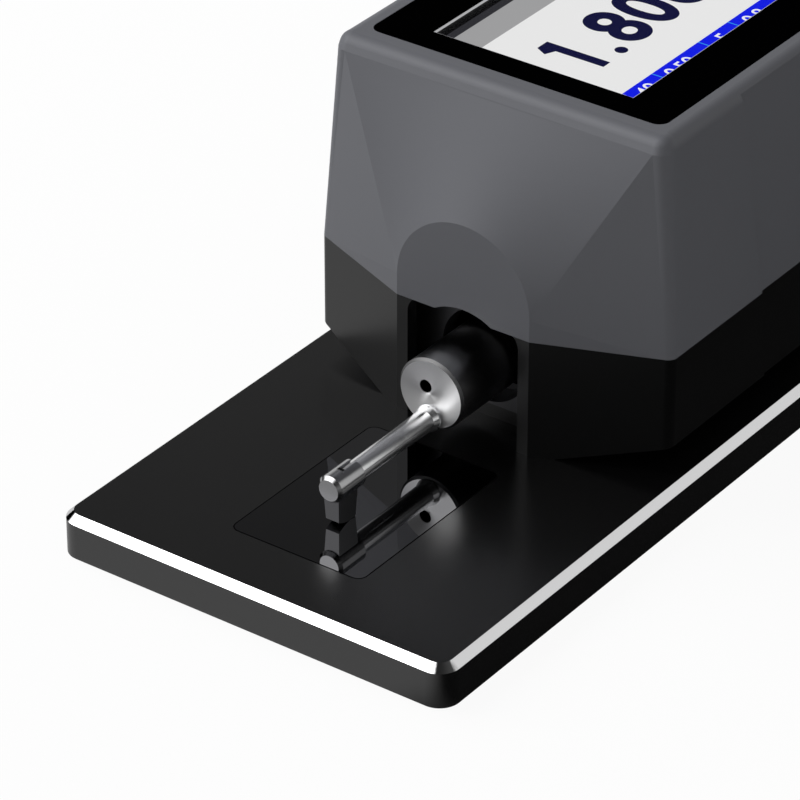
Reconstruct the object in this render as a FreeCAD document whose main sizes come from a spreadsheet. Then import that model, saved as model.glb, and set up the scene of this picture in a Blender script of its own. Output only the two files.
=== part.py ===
import FreeCAD, Part
import Sketcher
import math
import os

from FreeCAD import Placement, Rotation, Vector

# Surface roughness tester on its levelling plate, in millimetres.
# +X is right, +Y runs back along the tester, +Z is up; the origin is the centre of the plate's underside.

doc = FreeCAD.newDocument("roughness_tester")
sheet = doc.addObject("Spreadsheet::Sheet", "size")

SIZES = {
    # Base plate and the glass that is let into it
    "plate_width": 62.0,
    "plate_length": 195.0,
    "plate_thickness": 6.2,
    "plate_corner": 3.0,
    "plate_chamfer": 1.05,
    "glass_width": 20.8,
    "glass_length": 30.8,
    "glass_thickness": 2.0,
    "glass_corner": 2.4,
    "glass_setback": 10.3,
    "glass_joint": 0.08,
    # Housing, measured from the top of the plate
    "housing_width": 56.72,
    "housing_length": 140.0,
    "housing_height": 48.5,
    "parting_height": 17.46,
    "shoulder_height": 46.5,
    "side_lean": 2.06,
    "nose_setback": 47.0,
    "nose_width": 21.26,
    "cheek_depth": 7.08,
    "hood_depth": 7.0,
    "side_top_lean": 0.15,
    "top_front": 7.93,
    "top_round": 1.9,
    "corner_round": 1.5,
    "shoulder_round": 2.05,
    "rear_round": 3.0,
    "inner_bevel": 1.0,
    "rear_lean": 2.0,
    "rear_top_lean": 0.14,
    "arch_spring": 20.7,
    "wall": 2.0,
    "keel_width": 28.0,
    "keel_rise": 4.0,
    "grip_depth": 0.4,
    "grip_front": 25.0,
    "grip_rear": 13.0,
    "grip_slant": 5.6,
    "mouth_width": 17.8,
    "mouth_centre": 9.8,
    "mouth_corner": 2.7,
    "mouth_over": 0.75,
    # Display panel and what sits under it
    "panel_width": 46.2,
    "panel_length": 123.0,
    "panel_front": 10.94,
    "panel_thickness": 1.8,
    "panel_corner": 1.6,
    "panel_joint": 0.1,
    "window_width": 31.7,
    "window_length": 42.3,
    "window_setback": 4.26,
    "window_thickness": 0.8,
    "window_joint": 0.05,
    "display_width": 36.0,
    "display_length": 46.8,
    "display_gap": 0.1,
    "ceiling_thickness": 2.2,
    "board_width": 45.6,
    "board_length": 118.0,
    "board_front": 13.0,
    "board_thickness": 1.6,
    "board_drop": 2.5,
    "boss_radius": 2.2,
    "boss_spacing": 41.2,
    "boss_inset": 4.0,
    "board_screw": 0.95,
    "board_screw_hole": 1.05,
    "board_screw_head": 1.9,
    "board_screw_head_height": 1.3,
    "board_screw_short": 0.5,
    "board_screw_skin": 0.4,
    "battery_width": 34.0,
    "battery_length": 60.0,
    "battery_thickness": 9.6,
    "battery_front": 21.0,
    "battery_round": 1.5,
    # Keys
    "key_field_width": 39.0,
    "key_field_front": 64.4,
    "key_field_length": 55.5,
    "key_width": 10.0,
    "key_length": 7.0,
    "key_pitch": 13.0,
    "key_row": 70.5,
    "start_radius": 7.5,
    "start_row": 91.0,
    "power_radius": 4.0,
    "power_row": 113.0,
    "key_stand": 1.0,
    "key_gap": 0.25,
    "key_flange": 0.9,
    "key_flange_thickness": 0.8,
    "key_flange_gap": 0.3,
    "key_bevel": 0.35,
    "key_stem_radius": 1.3,
    "key_stem_length": 0.3,
    "switch_side": 6.0,
    "switch_height": 1.9,
    "plunger_radius": 1.5,
    "plunger_height": 0.7,
    # Charging socket
    "socket_width": 9.0,
    "socket_height": 3.2,
    "socket_length": 10.6,
    "socket_wall": 0.3,
    "socket_recess": 0.4,
    "socket_joint": 0.3,
    "tongue_width": 6.7,
    "tongue_height": 0.7,
    "tongue_length": 8.5,
    # Housing screws
    "pillar_radius": 3.6,
    "pillar_inset": 5.16,
    "pillar_front": 23.0,
    "pillar_rear": 131.0,
    "pillar_top": 30.0,
    "case_screw": 1.2,
    "case_screw_hole": 1.3,
    "case_screw_head": 2.3,
    "case_screw_sink": 2.6,
    "case_screw_head_height": 2.2,
    "case_screw_seat": 5.5,
    "case_screw_length": 20.0,
    # Drive frame, measured from the nose
    "frame_front": 5.3,
    "frame_wall": 3.0,
    "frame_floor": 1.6,
    "frame_floor_width": 27.0,
    "frame_width": 33.0,
    "frame_height": 27.0,
    "port_radius": 6.9,
    "rail_radius": 1.5,
    "rail_spacing": 28.0,
    "rail_height": 9.2,
    "rail_fit": 0.03,
    "blind_wall": 1.5,
    "rear_wall_setback": 75.5,
    "motor_wall_setback": 90.0,
    "frame_screw": 0.95,
    "frame_screw_hole": 1.05,
    "frame_screw_head": 2.0,
    "frame_screw_head_height": 1.1,
    "frame_screw_spacing": 21.0,
    "frame_screw_inset": 6.0,
    "frame_screw_short": 0.4,
    "screw_head_gap": 0.1,
    "frame_pad_radius": 2.2,
    "frame_pad_height": 3.4,
    # Traverse drive
    "screw_height": 20.5,
    "screw_radius": 2.0,
    "bush_radius": 3.5,
    "bush_flange_radius": 4.5,
    "bush_flange": 1.0,
    "bush_fit": 0.03,
    "running_fit": 0.05,
    "coupling_radius": 5.0,
    "coupling_length": 9.0,
    "coupling_gap": 1.5,
    "motor_radius": 8.0,
    "motor_length": 30.0,
    "motor_shaft_radius": 1.5,
    "motor_shaft_depth": 6.0,
    "motor_shaft_play": 0.5,
    "shaft_end_gap": 0.3,
    "gearbox_length": 11.0,
    "gearbox_rim": 0.5,
    "carriage_setback": 41.0,
    "carriage_length": 14.0,
    "carriage_width": 35.0,
    "carriage_base": 4.6,
    "carriage_deck": 13.8,
    "carriage_top": 26.0,
    "carriage_neck_width": 14.0,
    "nut_radius": 4.0,
    "nut_flange_radius": 5.3,
    "nut_flange": 1.5,
    # Pickup
    "pickup_height": 9.2,
    "pickup_radius": 5.2,
    "pickup_reach": 7.1,
    "pickup_rim": 0.35,
    "chamber_radius": 4.2,
    "chamber_wall": 4.5,
    "spigot_depth": 8.0,
    "spigot_bore": 2.6,
    "face_hole_radius": 0.95,
    "face_hole_side": 0.8,
    "face_hole_rise": 1.0,
    "face_hole_depth": 2.6,
    "stem_height": 5.8,
    "stem_radius": 1.5,
    "stem_root_radius": 1.6,
    "stem_flare_length": 6.0,
    "stem_flare_radius": 1.62,
    "stem_collar_radius": 1.92,
    "stem_collar_length": 0.9,
    "stem_collar_edge": 0.25,
    "stem_neck_length": 0.3,
    "stem_bore": 0.95,
    "head_setback": 17.5,
    "head_length": 5.4,
    "head_radius": 1.97,
    "head_rim": 0.45,
    "head_front_wall": 1.1,
    "head_socket": 1.9,
    "sight_slot_width": 0.95,
    "sight_slot_setback": 2.4,
    "skid_width": 2.5,
    "skid_foot_width": 2.0,
    "skid_length": 4.3,
    "skid_foot_length": 3.6,
    "skid_setback": 0.5,
    "skid_lift": 0.04,
    "skid_slot_radius": 0.7,
    "skid_sole_radius": 4.5,
    "skid_sole_setback": 3.4,
    "stylus_radius": 0.3,
    "stylus_point": 0.6,
    "stylus_setback": 2.3,
    "lever_radius": 0.35,
    "lever_pivot": 5.6,
    "lever_hub_radius": 0.6,
    "lever_hub_width": 1.4,
    "lever_tail": 8.0,
    "lever_eye_radius": 0.5,
    "lever_eye_length": 1.6,
    "pivot_radius": 0.2,
    "pivot_length": 5.4,
    "pivot_end_gap": 0.1,
    "armature_width": 3.0,
    "armature_length": 5.0,
    "armature_thickness": 0.5,
    "coil_gap": 0.7,
    "coil_length": 7.0,
}

for row, (alias, number) in enumerate(SIZES.items(), 1):
    sheet.set(f"A{row}", alias)
    sheet.set(f"B{row}", str(number))
    sheet.setAlias(f"B{row}", alias)
doc.recompute()


def read(alias):
    """A driving size, read from the sheet."""
    return float(sheet.get(alias))


# Places that many pieces share, as expressions on the sheet
PLATE_FRONT = "(-size.plate_length / 2)"
NOSE = "(size.nose_setback - size.plate_length / 2)"
DECK = "size.plate_thickness"
TOP = "(size.plate_thickness + size.housing_height)"
PANEL_UNDER = f"({TOP} - size.panel_thickness)"
CEILING = f"({PANEL_UNDER} - size.ceiling_thickness)"
BOARD_TOP = f"({CEILING} - size.board_drop)"
BOARD_UNDER = f"({BOARD_TOP} - size.board_thickness)"
PANEL_EDGE = f"({NOSE} + size.panel_front)"
WINDOW_EDGE = f"({PANEL_EDGE} + size.window_setback)"
FLOOR = f"({DECK} + size.wall)"
PICKUP_Z = f"({DECK} + size.pickup_height)"
RAIL_Z = f"({DECK} + size.rail_height)"
STEM_Z = f"({DECK} + size.stem_height)"
SCREW_Z = f"({DECK} + size.screw_height)"
FRAME_Y = f"({NOSE} + size.frame_front)"
REAR_WALL_Y = f"({NOSE} + size.rear_wall_setback)"
MOTOR_WALL_Y = f"({NOSE} + size.motor_wall_setback)"
MOTOR_Y = f"({MOTOR_WALL_Y} + size.frame_wall)"
CARRIAGE_Y = f"({NOSE} + size.carriage_setback)"
PICKUP_Y = f"({NOSE} - size.pickup_reach)"
HEAD_Y = f"({PLATE_FRONT} + size.head_setback)"
HEAD_END = f"({HEAD_Y} + size.head_length)"
STYLUS_Y = f"({HEAD_Y} + size.stylus_setback)"
CHAMBER_Y = f"({PICKUP_Y} + size.chamber_wall)"
PIVOT_Y = f"({CHAMBER_Y} + size.lever_pivot)"

ALONG_Y = Rotation(Vector(1, 0, 0), -90)
ALONG_X = Rotation(Vector(0, 1, 0), 90)
UPRIGHT = Rotation()


def bind(item, **sizes):
    """Ties properties of a document object to expressions on the sheet."""
    for name, expression in sizes.items():
        item.setExpression(name, str(expression))


def place(item, x, y, z, rotation=UPRIGHT):
    """Ties the place of a document object to expressions on the sheet."""
    item.Placement = Placement(Vector(), rotation)
    for axis, expression in zip("xyz", (x, y, z)):
        item.setExpression(f"Placement.Base.{axis}", str(expression))


def box(name, width, length, height, x, y, z):
    """A block centred on x, that starts at y and z."""
    item = doc.addObject("Part::Box", name)
    bind(item, Length=width, Width=length, Height=height)
    place(item, f"{x} - ({width}) / 2", y, z)
    return item


def rod(name, radius, length, x, y, z, rotation=UPRIGHT):
    """A round bar that starts at the point and runs along the turned Z axis."""
    item = doc.addObject("Part::Cylinder", name)
    bind(item, Radius=radius, Height=length)
    place(item, x, y, z, rotation)
    return item


def taper(name, start_radius, end_radius, length, x, y, z, rotation=UPRIGHT):
    """A round taper that starts at the point and runs along the turned Z axis."""
    item = doc.addObject("Part::Cone", name)
    bind(item, Radius1=start_radius, Radius2=end_radius, Height=length)
    place(item, x, y, z, rotation)
    return item


def fuse(name, pieces):
    """One solid from overlapping pieces."""
    item = doc.addObject("Part::MultiFuse", name)
    item.Shapes = pieces
    item.Refine = True
    return item


def group(name, pieces):
    """Like pieces that are kept in one node and don't touch."""
    item = doc.addObject("Part::Compound", name)
    item.Links = pieces
    return item


def cut(name, base, tools):
    """A piece with other pieces taken out of it."""
    if len(tools) == 1:
        tool = tools[0]
    else:
        tool = doc.addObject("Part::Compound", name + "_cuts")
        tool.Links = tools
    item = doc.addObject("Part::Cut", name)
    item.Base = base
    item.Tool = tool
    item.Refine = True
    return item


def dressed(kind, name, base, size, test):
    """The base with the edges that pass the test rounded or bevelled."""
    doc.recompute()
    item = doc.addObject("Part::" + kind, name)
    item.Base = base
    reach = read(size)
    item.Edges = [(n, reach, reach) for n, edge in enumerate(base.Shape.Edges, 1) if test(edge)]
    return item


def rounded(name, base, radius, test):
    """The base with the edges that pass the test rounded."""
    return dressed("Fillet", name, base, radius, test)


def bevelled(name, base, size, test):
    """The base with the edges that pass the test bevelled."""
    return dressed("Chamfer", name, base, size, test)


def is_upright(edge):
    """True for a straight edge that runs along Z."""
    start = edge.Vertexes[0].Point
    end = edge.Vertexes[-1].Point
    return abs(start.x - end.x) < 1e-6 and abs(start.y - end.y) < 1e-6 and abs(start.z - end.z) > 1e-3


def is_at_top(shape):
    """A test for edges that lie in the top face of the shape."""
    top = shape.BoundBox.ZMax
    return lambda edge: edge.BoundBox.ZMin > top - 1e-4


def rectangle(body, name, width, length, x, y, z):
    """A sketched rectangle, centred at x and y, at the height z."""
    sketch = body.newObject("Sketcher::SketchObject", name)
    plane = next(f for f in body.Origin.OriginFeatures if f.Role == "XY_Plane")
    sketch.AttachmentSupport = [(plane, "")]
    sketch.MapMode = "FlatFace"
    corners = [Vector(-1, -1, 0), Vector(1, -1, 0), Vector(1, 1, 0), Vector(-1, 1, 0)]
    for n in range(4):
        sketch.addGeometry(Part.LineSegment(corners[n], corners[(n + 1) % 4]))
    for n in range(4):
        sketch.addConstraint(Sketcher.Constraint("Coincident", n, 2, (n + 1) % 4, 1))
    sketch.addConstraint(Sketcher.Constraint("Horizontal", 0))
    sketch.addConstraint(Sketcher.Constraint("Horizontal", 2))
    sketch.addConstraint(Sketcher.Constraint("Vertical", 1))
    sketch.addConstraint(Sketcher.Constraint("Vertical", 3))
    sketch.addConstraint(Sketcher.Constraint("Symmetric", 0, 1, 2, 1, -1, 1))
    across = sketch.addConstraint(Sketcher.Constraint("DistanceX", 0, 1, 0, 2, 2.0))
    along = sketch.addConstraint(Sketcher.Constraint("DistanceY", 1, 1, 1, 2, 2.0))
    sketch.setExpression(f"Constraints[{across}]", width)
    sketch.setExpression(f"Constraints[{along}]", length)
    for axis, expression in zip("xyz", (x, y, z)):
        sketch.setExpression(f"AttachmentOffset.Base.{axis}", str(expression))
    return sketch


def circle(body, name, radius, x, y, z):
    """A sketched circle at x and y, at the height z."""
    sketch = body.newObject("Sketcher::SketchObject", name)
    plane = next(f for f in body.Origin.OriginFeatures if f.Role == "XY_Plane")
    sketch.AttachmentSupport = [(plane, "")]
    sketch.MapMode = "FlatFace"
    sketch.addGeometry(Part.Circle(Vector(), Vector(0, 0, 1), 1.0))
    sketch.addConstraint(Sketcher.Constraint("Coincident", 0, 3, -1, 1))
    size = sketch.addConstraint(Sketcher.Constraint("Radius", 0, 1.0))
    sketch.setExpression(f"Constraints[{size}]", radius)
    for axis, expression in zip("xyz", (x, y, z)):
        sketch.setExpression(f"AttachmentOffset.Base.{axis}", str(expression))
    return sketch


def pad(body, name, sketch, height):
    """Material raised from a sketch."""
    feature = body.newObject("PartDesign::Pad", name)
    feature.Profile = sketch
    bind(feature, Length=height)
    doc.recompute()
    return feature


def pocket(body, name, sketch, depth):
    """Material taken out downwards from a sketch."""
    feature = body.newObject("PartDesign::Pocket", name)
    feature.Profile = sketch
    bind(feature, Length=depth)
    doc.recompute()
    return feature


def dress(body, kind, name, base, size, test):
    """A PartDesign fillet or chamfer on the edges of base that pass the test."""
    feature = body.newObject("PartDesign::" + kind, name)
    edges = [f"Edge{n}" for n, edge in enumerate(base.Shape.Edges, 1) if test(edge)]
    feature.Base = (base, edges)
    bind(feature, **{"Radius" if kind == "Fillet" else "Size": size})
    doc.recompute()
    return feature


def new_body(label):
    """An empty PartDesign body."""
    body = doc.addObject("PartDesign::Body", label)
    body.Label = label
    return body


def feature(label, shape):
    """A piece whose shape is made below with profiles and surfaces."""
    item = doc.addObject("Part::Feature", label)
    item.Shape = shape
    return item


PIECES = []


def keep(label, item):
    """Names a finished piece and puts it on the list of pieces."""
    item.Label = label
    PIECES.append(item)
    return item


# Base plate: milled flat bar with rounded corners, a polished chamfer and a pocket for the glass
plate = new_body("base_plate")
blank = pad(plate, "plate_blank",
            rectangle(plate, "plate_outline", "size.plate_width", "size.plate_length", 0, 0, 0),
            "size.plate_thickness")
blank = dress(plate, "Fillet", "plate_corners", blank, "size.plate_corner", is_upright)
blank = dress(plate, "Chamfer", "plate_edge", blank, "size.plate_chamfer", is_at_top(blank.Shape))
GLASS_MIDDLE = f"{PLATE_FRONT} + size.glass_setback + size.glass_length / 2"
seat = pocket(plate, "glass_seat",
              rectangle(plate, "glass_seat_outline", "size.glass_width + 2 * size.glass_joint",
                        "size.glass_length + 2 * size.glass_joint", 0, GLASS_MIDDLE, DECK),
              "size.glass_thickness")


def is_seat_corner(edge):
    """True for the upright edges of the glass pocket."""
    return is_upright(edge) and abs(edge.Vertexes[0].X) < read("glass_width") / 2 + 1


dress(plate, "Fillet", "glass_seat_corners", seat, "size.glass_corner + size.glass_joint", is_seat_corner)
keep("base_plate", plate)

# Reference glass: polished dark plate that the skid slides on
glass = new_body("reference_glass")
pane = pad(glass, "glass_blank",
           rectangle(glass, "glass_outline", "size.glass_width", "size.glass_length", 0, GLASS_MIDDLE,
                     f"{DECK} - size.glass_thickness"),
           "size.glass_thickness")
dress(glass, "Fillet", "glass_corners", pane, "size.glass_corner", is_upright)
keep("reference_glass", glass)


# Housing outlines. The front is a flat nose with an angled cheek on each side.
def cheek_slope():
    """How far a cheek runs back for each millimetre outwards."""
    return read("cheek_depth") / (read("housing_width") / 2 - read("nose_width") / 2)


def nose_y():
    """The front face of the nose."""
    return read("nose_setback") - read("plate_length") / 2


def nose_corner(inset):
    """Where the nose meets the cheek, on an outline moved inwards by inset."""
    slope = cheek_slope()
    back = inset * (math.hypot(1, slope) - 1) / slope
    return Vector(read("nose_width") / 2 - back, nose_y() + inset, 0)


def rear_y():
    """The back face at the parting line."""
    return nose_y() + read("housing_length")


def arc_edge(centre, radius, start, end, z):
    """A level arc between two angles in degrees. The small corners inside the walls are plain bevels."""
    points = []
    for angle in (start, (start + end) / 2, end):
        turn = math.radians(angle)
        points.append(Vector(centre.x + radius * math.cos(turn), centre.y + radius * math.sin(turn), z))
    if radius <= read("inner_bevel"):
        return line(points[0], points[2])
    return Part.Arc(*points).toShape()


def lower_corner(inset, z):
    """The rounded corner between cheek and side: from the cheek to the side."""
    slope = cheek_slope()
    half = read("housing_width") / 2 - inset
    radius = max(read("corner_round") - inset, read("inner_bevel"))
    reach = (half + inset - read("nose_width") / 2) * slope
    sharp = nose_y() + reach - inset * slope + inset * math.hypot(1, slope)
    turn = math.pi / 2 - math.atan(slope)
    centre = Vector(half - radius, sharp + radius * math.tan(turn / 2), 0)
    return arc_edge(centre, radius, -math.degrees(turn), 0, z)


def rear_corner(half, back, radius, z):
    """The rounded corner between side and back: from the side to the back."""
    centre = Vector(half - radius, back - radius, 0)
    return arc_edge(centre, radius, 0, 90, z)


def mirrored(shape):
    """The same shape on the left side."""
    return shape.mirror(Vector(), Vector(1, 0, 0))


def line(start, end):
    """A straight edge."""
    return Part.LineSegment(start, end).toShape()


def ends(edge):
    """First and last point of an edge, by its own direction."""
    return edge.valueAt(edge.FirstParameter), edge.valueAt(edge.LastParameter)


def flat(points):
    """A flat face through the points."""
    return Part.Face(Part.makePolygon(points + points[:1]))


def closed_solid(faces):
    """One solid from faces that close it."""
    shell = Part.makeShell(faces)
    shell.sewShape()
    solid = Part.makeSolid(Part.Shell(shell.Faces))
    if solid.Volume < 0:
        solid.reverse()
    return solid


def plan_face(inset, z):
    """The housing's outline at the parting line, as a level face."""
    half = read("housing_width") / 2 - inset
    corner = lower_corner(inset, z)
    rear = rear_corner(half, rear_y() - inset, max(read("rear_round") - inset, read("inner_bevel")), z)
    nose = nose_corner(inset)
    nose.z = z
    right = [line(nose, ends(corner)[0]), corner, line(ends(corner)[1], ends(rear)[0]), rear]
    left = [mirrored(edge) for edge in right]
    other_nose = Vector(-nose.x, nose.y, z)
    back = ends(rear)[1]
    closing = [line(other_nose, nose), line(back, Vector(-back.x, back.y, z))]
    return Part.Face(Part.Wire(Part.__sortEdges__(right + left + closing)))


def upper_half_width(z):
    """Half the cover's width at a height: its sides lean inwards."""
    low = read("plate_thickness") + read("parting_height")
    high = read("plate_thickness") + read("shoulder_height")
    share = (z - low) / (high - low)
    return read("housing_width") / 2 - share * read("side_lean")


def hood(inset, top):
    """The cover's body from the parting line up to the height top, moved inwards by inset.

    The nose carries an arched flat. The front is one ruled surface between the straight top edge and
    the arch, so a square top turns into a round mouth.
    """
    low = read("plate_thickness") + read("parting_height")
    spring = read("plate_thickness") + read("arch_spring")
    shoulder = read("plate_thickness") + read("shoulder_height")
    nose = nose_corner(inset)
    radius = nose.x
    outer_crown = spring + read("nose_width") / 2
    slope = read("hood_depth") / (shoulder - outer_crown)
    front = nose_y() + slope * (top - outer_crown) + inset * math.hypot(1, slope)
    half = upper_half_width(top) - inset
    corner_radius = max(read("shoulder_round") - inset, read("inner_bevel"))
    low_corner = lower_corner(inset, low)
    high_corner = arc_edge(Vector(half - corner_radius, front + corner_radius, 0), corner_radius, -90, 0, top)
    rear_radius = max(read("rear_round") - inset, read("inner_bevel"))
    lean = read("rear_lean") * (top - low) / (shoulder - low)
    low_rear = rear_corner(read("housing_width") / 2 - inset, rear_y() - inset, rear_radius, low)
    high_rear = rear_corner(half, rear_y() - inset - lean, rear_radius, top)
    toe = Vector(nose.x, nose.y, low)
    knee = Vector(nose.x, nose.y, spring)
    cheek_low, side_low = ends(low_corner)
    cheek_high, side_high = ends(high_corner)
    side_low_rear, back_low = ends(low_rear)
    side_high_rear, back_high = ends(high_rear)
    right = [
        flat([toe, cheek_low, knee]),
        flat([cheek_low, cheek_high, knee]),
        Part.makeRuledSurface(low_corner, high_corner),
        flat([side_low, side_low_rear, side_high_rear, side_high]),
        Part.makeRuledSurface(low_rear, high_rear),
    ]
    left = [mirrored(face) for face in right]
    other = [Vector(-p.x, p.y, p.z) for p in (toe, knee, cheek_high, back_low, back_high)]
    arch = Part.Arc(other[1], Vector(0, nose.y, spring + radius), knee).toShape()
    outline = [line(other[0], toe), line(toe, knee), arch, line(other[1], other[0])]
    middle_faces = [
        Part.Face(Part.Wire(Part.__sortEdges__(outline))),
        Part.makeRuledSurface(line(other[2], cheek_high), arch),
        flat([back_low, other[3], other[4], back_high]),
        plan_face(inset, low),
    ]
    high = [high_corner, line(side_high, side_high_rear), high_rear]
    high += [mirrored(edge) for edge in high]
    high += [line(other[2], cheek_high), line(back_high, other[4])]
    middle_faces.append(Part.Face(Part.Wire(Part.__sortEdges__(high))))
    return closed_solid(right + left + middle_faces)


def crown_cap():
    """The cover's rounded top edge, from the shoulder to the flat top."""
    shoulder = read("plate_thickness") + read("shoulder_height")
    top = read("plate_thickness") + read("housing_height")
    low_rear = rear_y() - read("rear_lean")
    shoulder_half = read("housing_width") / 2 - read("side_lean")
    levels = ((shoulder_half, nose_y() + read("hood_depth"), low_rear, shoulder),
              (shoulder_half - read("side_top_lean"), nose_y() + read("top_front"),
               low_rear - read("rear_top_lean"), top))
    radius = read("shoulder_round")
    corners = [arc_edge(Vector(half - radius, front + radius, 0), radius, -90, 0, z)
               for half, front, rear, z in levels]
    backs = [rear_corner(half, rear, read("rear_round"), z) for half, front, rear, z in levels]
    outlines = []
    for corner, back in zip(corners, backs):
        front_end, side_end = ends(corner)
        side_rear, rear_end = ends(back)
        outlines.append([front_end, side_end, side_rear, rear_end])
    low, high = outlines
    faces = [
        Part.makeRuledSurface(corners[0], corners[1]),
        flat([low[1], low[2], high[2], high[1]]),
        Part.makeRuledSurface(backs[0], backs[1]),
    ]
    faces += [mirrored(face) for face in faces]
    for n in (0, 3):
        left_low = Vector(-low[n].x, low[n].y, low[n].z)
        left_high = Vector(-high[n].x, high[n].y, high[n].z)
        faces.append(flat([left_low, low[n], high[n], left_high]))
    for corner, back in zip(corners, backs):
        edges = [corner, line(ends(corner)[1], ends(back)[0]), back]
        edges += [mirrored(edge) for edge in edges]
        first, last = ends(corner)[0], ends(back)[1]
        edges.append(line(Vector(-first.x, first.y, first.z), first))
        edges.append(line(last, Vector(-last.x, last.y, last.z)))
        faces.append(Part.Face(Part.Wire(Part.__sortEdges__(edges))))
    cap = closed_solid(faces)
    rim = [edge for edge in cap.Edges if edge.BoundBox.ZMin > top - 1e-4]
    return cap.makeFillet(read("top_round"), rim)


def block(x_low, x_high, y_low, y_high, z_low, z_high):
    """A plain block between limits."""
    return Part.makeBox(x_high - x_low, y_high - y_low, z_high - z_low, Vector(x_low, y_low, z_low))


def upright(radius, x, y, low, high):
    """An upright round bar between two heights."""
    return Part.makeCylinder(radius, high - low, Vector(x, y, low))


def grip_hollows():
    """The shallow grip hollows in both sides: flat steps with slanting ends."""
    deck = read("plate_thickness")
    top = deck + read("housing_height")
    parting = deck + read("parting_height")
    half = read("housing_width") / 2
    depth = read("grip_depth")
    far = half + 1
    profile = [Vector(half - depth, 0, deck), Vector(half - depth, 0, parting),
               Vector(upper_half_width(top) - depth, 0, top), Vector(far, 0, top), Vector(far, 0, deck)]
    for point in profile:
        point.y = nose_y()
    slab = flat(profile).extrude(Vector(0, read("housing_length"), 0))
    front = nose_y() + read("grip_front")
    rear = rear_y() - read("grip_rear")
    slant = read("grip_slant")
    outline = flat([Vector(0, front + slant, deck), Vector(0, front, top), Vector(0, rear, top),
                    Vector(0, rear - slant, deck)]).extrude(Vector(far, 0, 0))
    hollow = slab.common(outline)
    return hollow.fuse(mirrored(hollow))


def mouth_tool():
    """The mouth in the black nose: upright jambs that round off under the parting line."""
    half = read("mouth_width") / 2
    top = read("plate_thickness") + read("parting_height") + read("mouth_over")
    start = nose_y() - 1
    opening = block(-half, half, start, nose_y() + read("frame_front"), read("plate_thickness") - 1, top)
    is_top = is_at_top(opening)
    corners = [edge for edge in opening.Edges if is_top(edge) and edge.BoundBox.YLength > 1]
    return opening.makeFillet(read("mouth_corner"), corners)


def notch_tool(low, depth):
    """The arched notch that continues the mouth in the cover, as a solid that reaches back by depth."""
    half = read("mouth_width") / 2
    centre = read("plate_thickness") + read("mouth_centre")
    start = nose_y() - 1
    opening = block(-half, half, start, nose_y() + depth, low, centre)
    arch = Part.makeCylinder(half, depth + 1, Vector(0, start, centre), Vector(0, 1, 0))
    return opening.fuse(arch)


def pillar_places():
    """The four housing screws."""
    half = read("housing_width") / 2 - read("pillar_inset")
    for x in (-half, half):
        for y in (nose_y() + read("pillar_front"), nose_y() + read("pillar_rear")):
            yield x, y


def frame_screw_places():
    """The four screws that hold the drive frame to the housing's floor."""
    half = read("frame_screw_spacing") / 2
    front = nose_y() + read("frame_front") + read("frame_wall") + read("frame_screw_inset")
    rear = nose_y() + read("motor_wall_setback") - read("frame_screw_inset")
    for x in (-half, half):
        for y in (front, rear):
            yield x, y


def board_screw_places():
    """The four screws that hold the board up under the cover."""
    half = read("boss_spacing") / 2
    front = nose_y() + read("board_front") + read("boss_inset")
    rear = nose_y() + read("board_front") + read("board_length") - read("boss_inset")
    for x in (-half, half):
        for y in (front, rear):
            yield x, y


def keel_wedges(inset):
    """What is taken off under both sides so that the housing's bottom turns up."""
    half = read("housing_width") / 2
    keel = read("keel_width") / 2
    low = read("plate_thickness")
    angle = math.atan2(read("keel_rise"), half - keel)
    lift = inset / math.cos(angle)
    far = half + 2
    rise = (far - keel) * math.tan(angle)
    start = nose_y() - 1
    length = read("housing_length") + 2
    under = low - read("keel_rise")
    points = [Vector(keel, start, low + lift), Vector(far, start, low + lift + rise),
              Vector(far, start, under), Vector(keel, start, under)]
    wedge = flat(points).extrude(Vector(0, length, 0))
    return wedge.fuse(mirrored(wedge))


def lower_housing():
    """The black lower shell: sides, floor, the nose with its mouth, pillars and screw holes."""
    deck = read("plate_thickness")
    parting = deck + read("parting_height")
    wall = read("wall")
    floor = deck + wall
    outer = plan_face(0, deck).extrude(Vector(0, 0, parting - deck)).cut(keel_wedges(0))
    inner = plan_face(wall, floor).extrude(Vector(0, 0, parting - floor)).cut(keel_wedges(wall))
    shell = outer.cut(inner)
    for x, y in pillar_places():
        pillar = upright(read("pillar_radius"), x, y, deck, parting).common(outer)
        shell = shell.fuse(pillar)
    tools = [mouth_tool(), grip_hollows()]
    for x, y in pillar_places():
        seat = deck + read("case_screw_seat")
        tools.append(upright(read("case_screw_hole"), x, y, deck, parting + 1))
        tools.append(upright(read("case_screw_sink"), x, y, deck - 1, seat))
    for x, y in frame_screw_places():
        tools.append(upright(read("frame_screw_hole"), x, y, deck - 1, floor + 1))
        tools.append(upright(read("frame_screw_head") + 2 * read("screw_head_gap"), x, y, deck - 1,
                             deck + read("frame_screw_head_height") + read("screw_head_gap")))
    for tool in tools:
        shell = shell.cut(tool)
    return shell.removeSplitter()


def key_places():
    """Name, outline and centre of each key."""
    pitch = read("key_pitch")
    row = nose_y() + read("key_row")
    return [
        ("left_key", None, -pitch, row),
        ("menu_key", None, 0, row),
        ("right_key", None, pitch, row),
        ("start_key", "start_radius", 0, nose_y() + read("start_row")),
        ("power_key", "power_radius", 0, nose_y() + read("power_row")),
    ]


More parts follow.
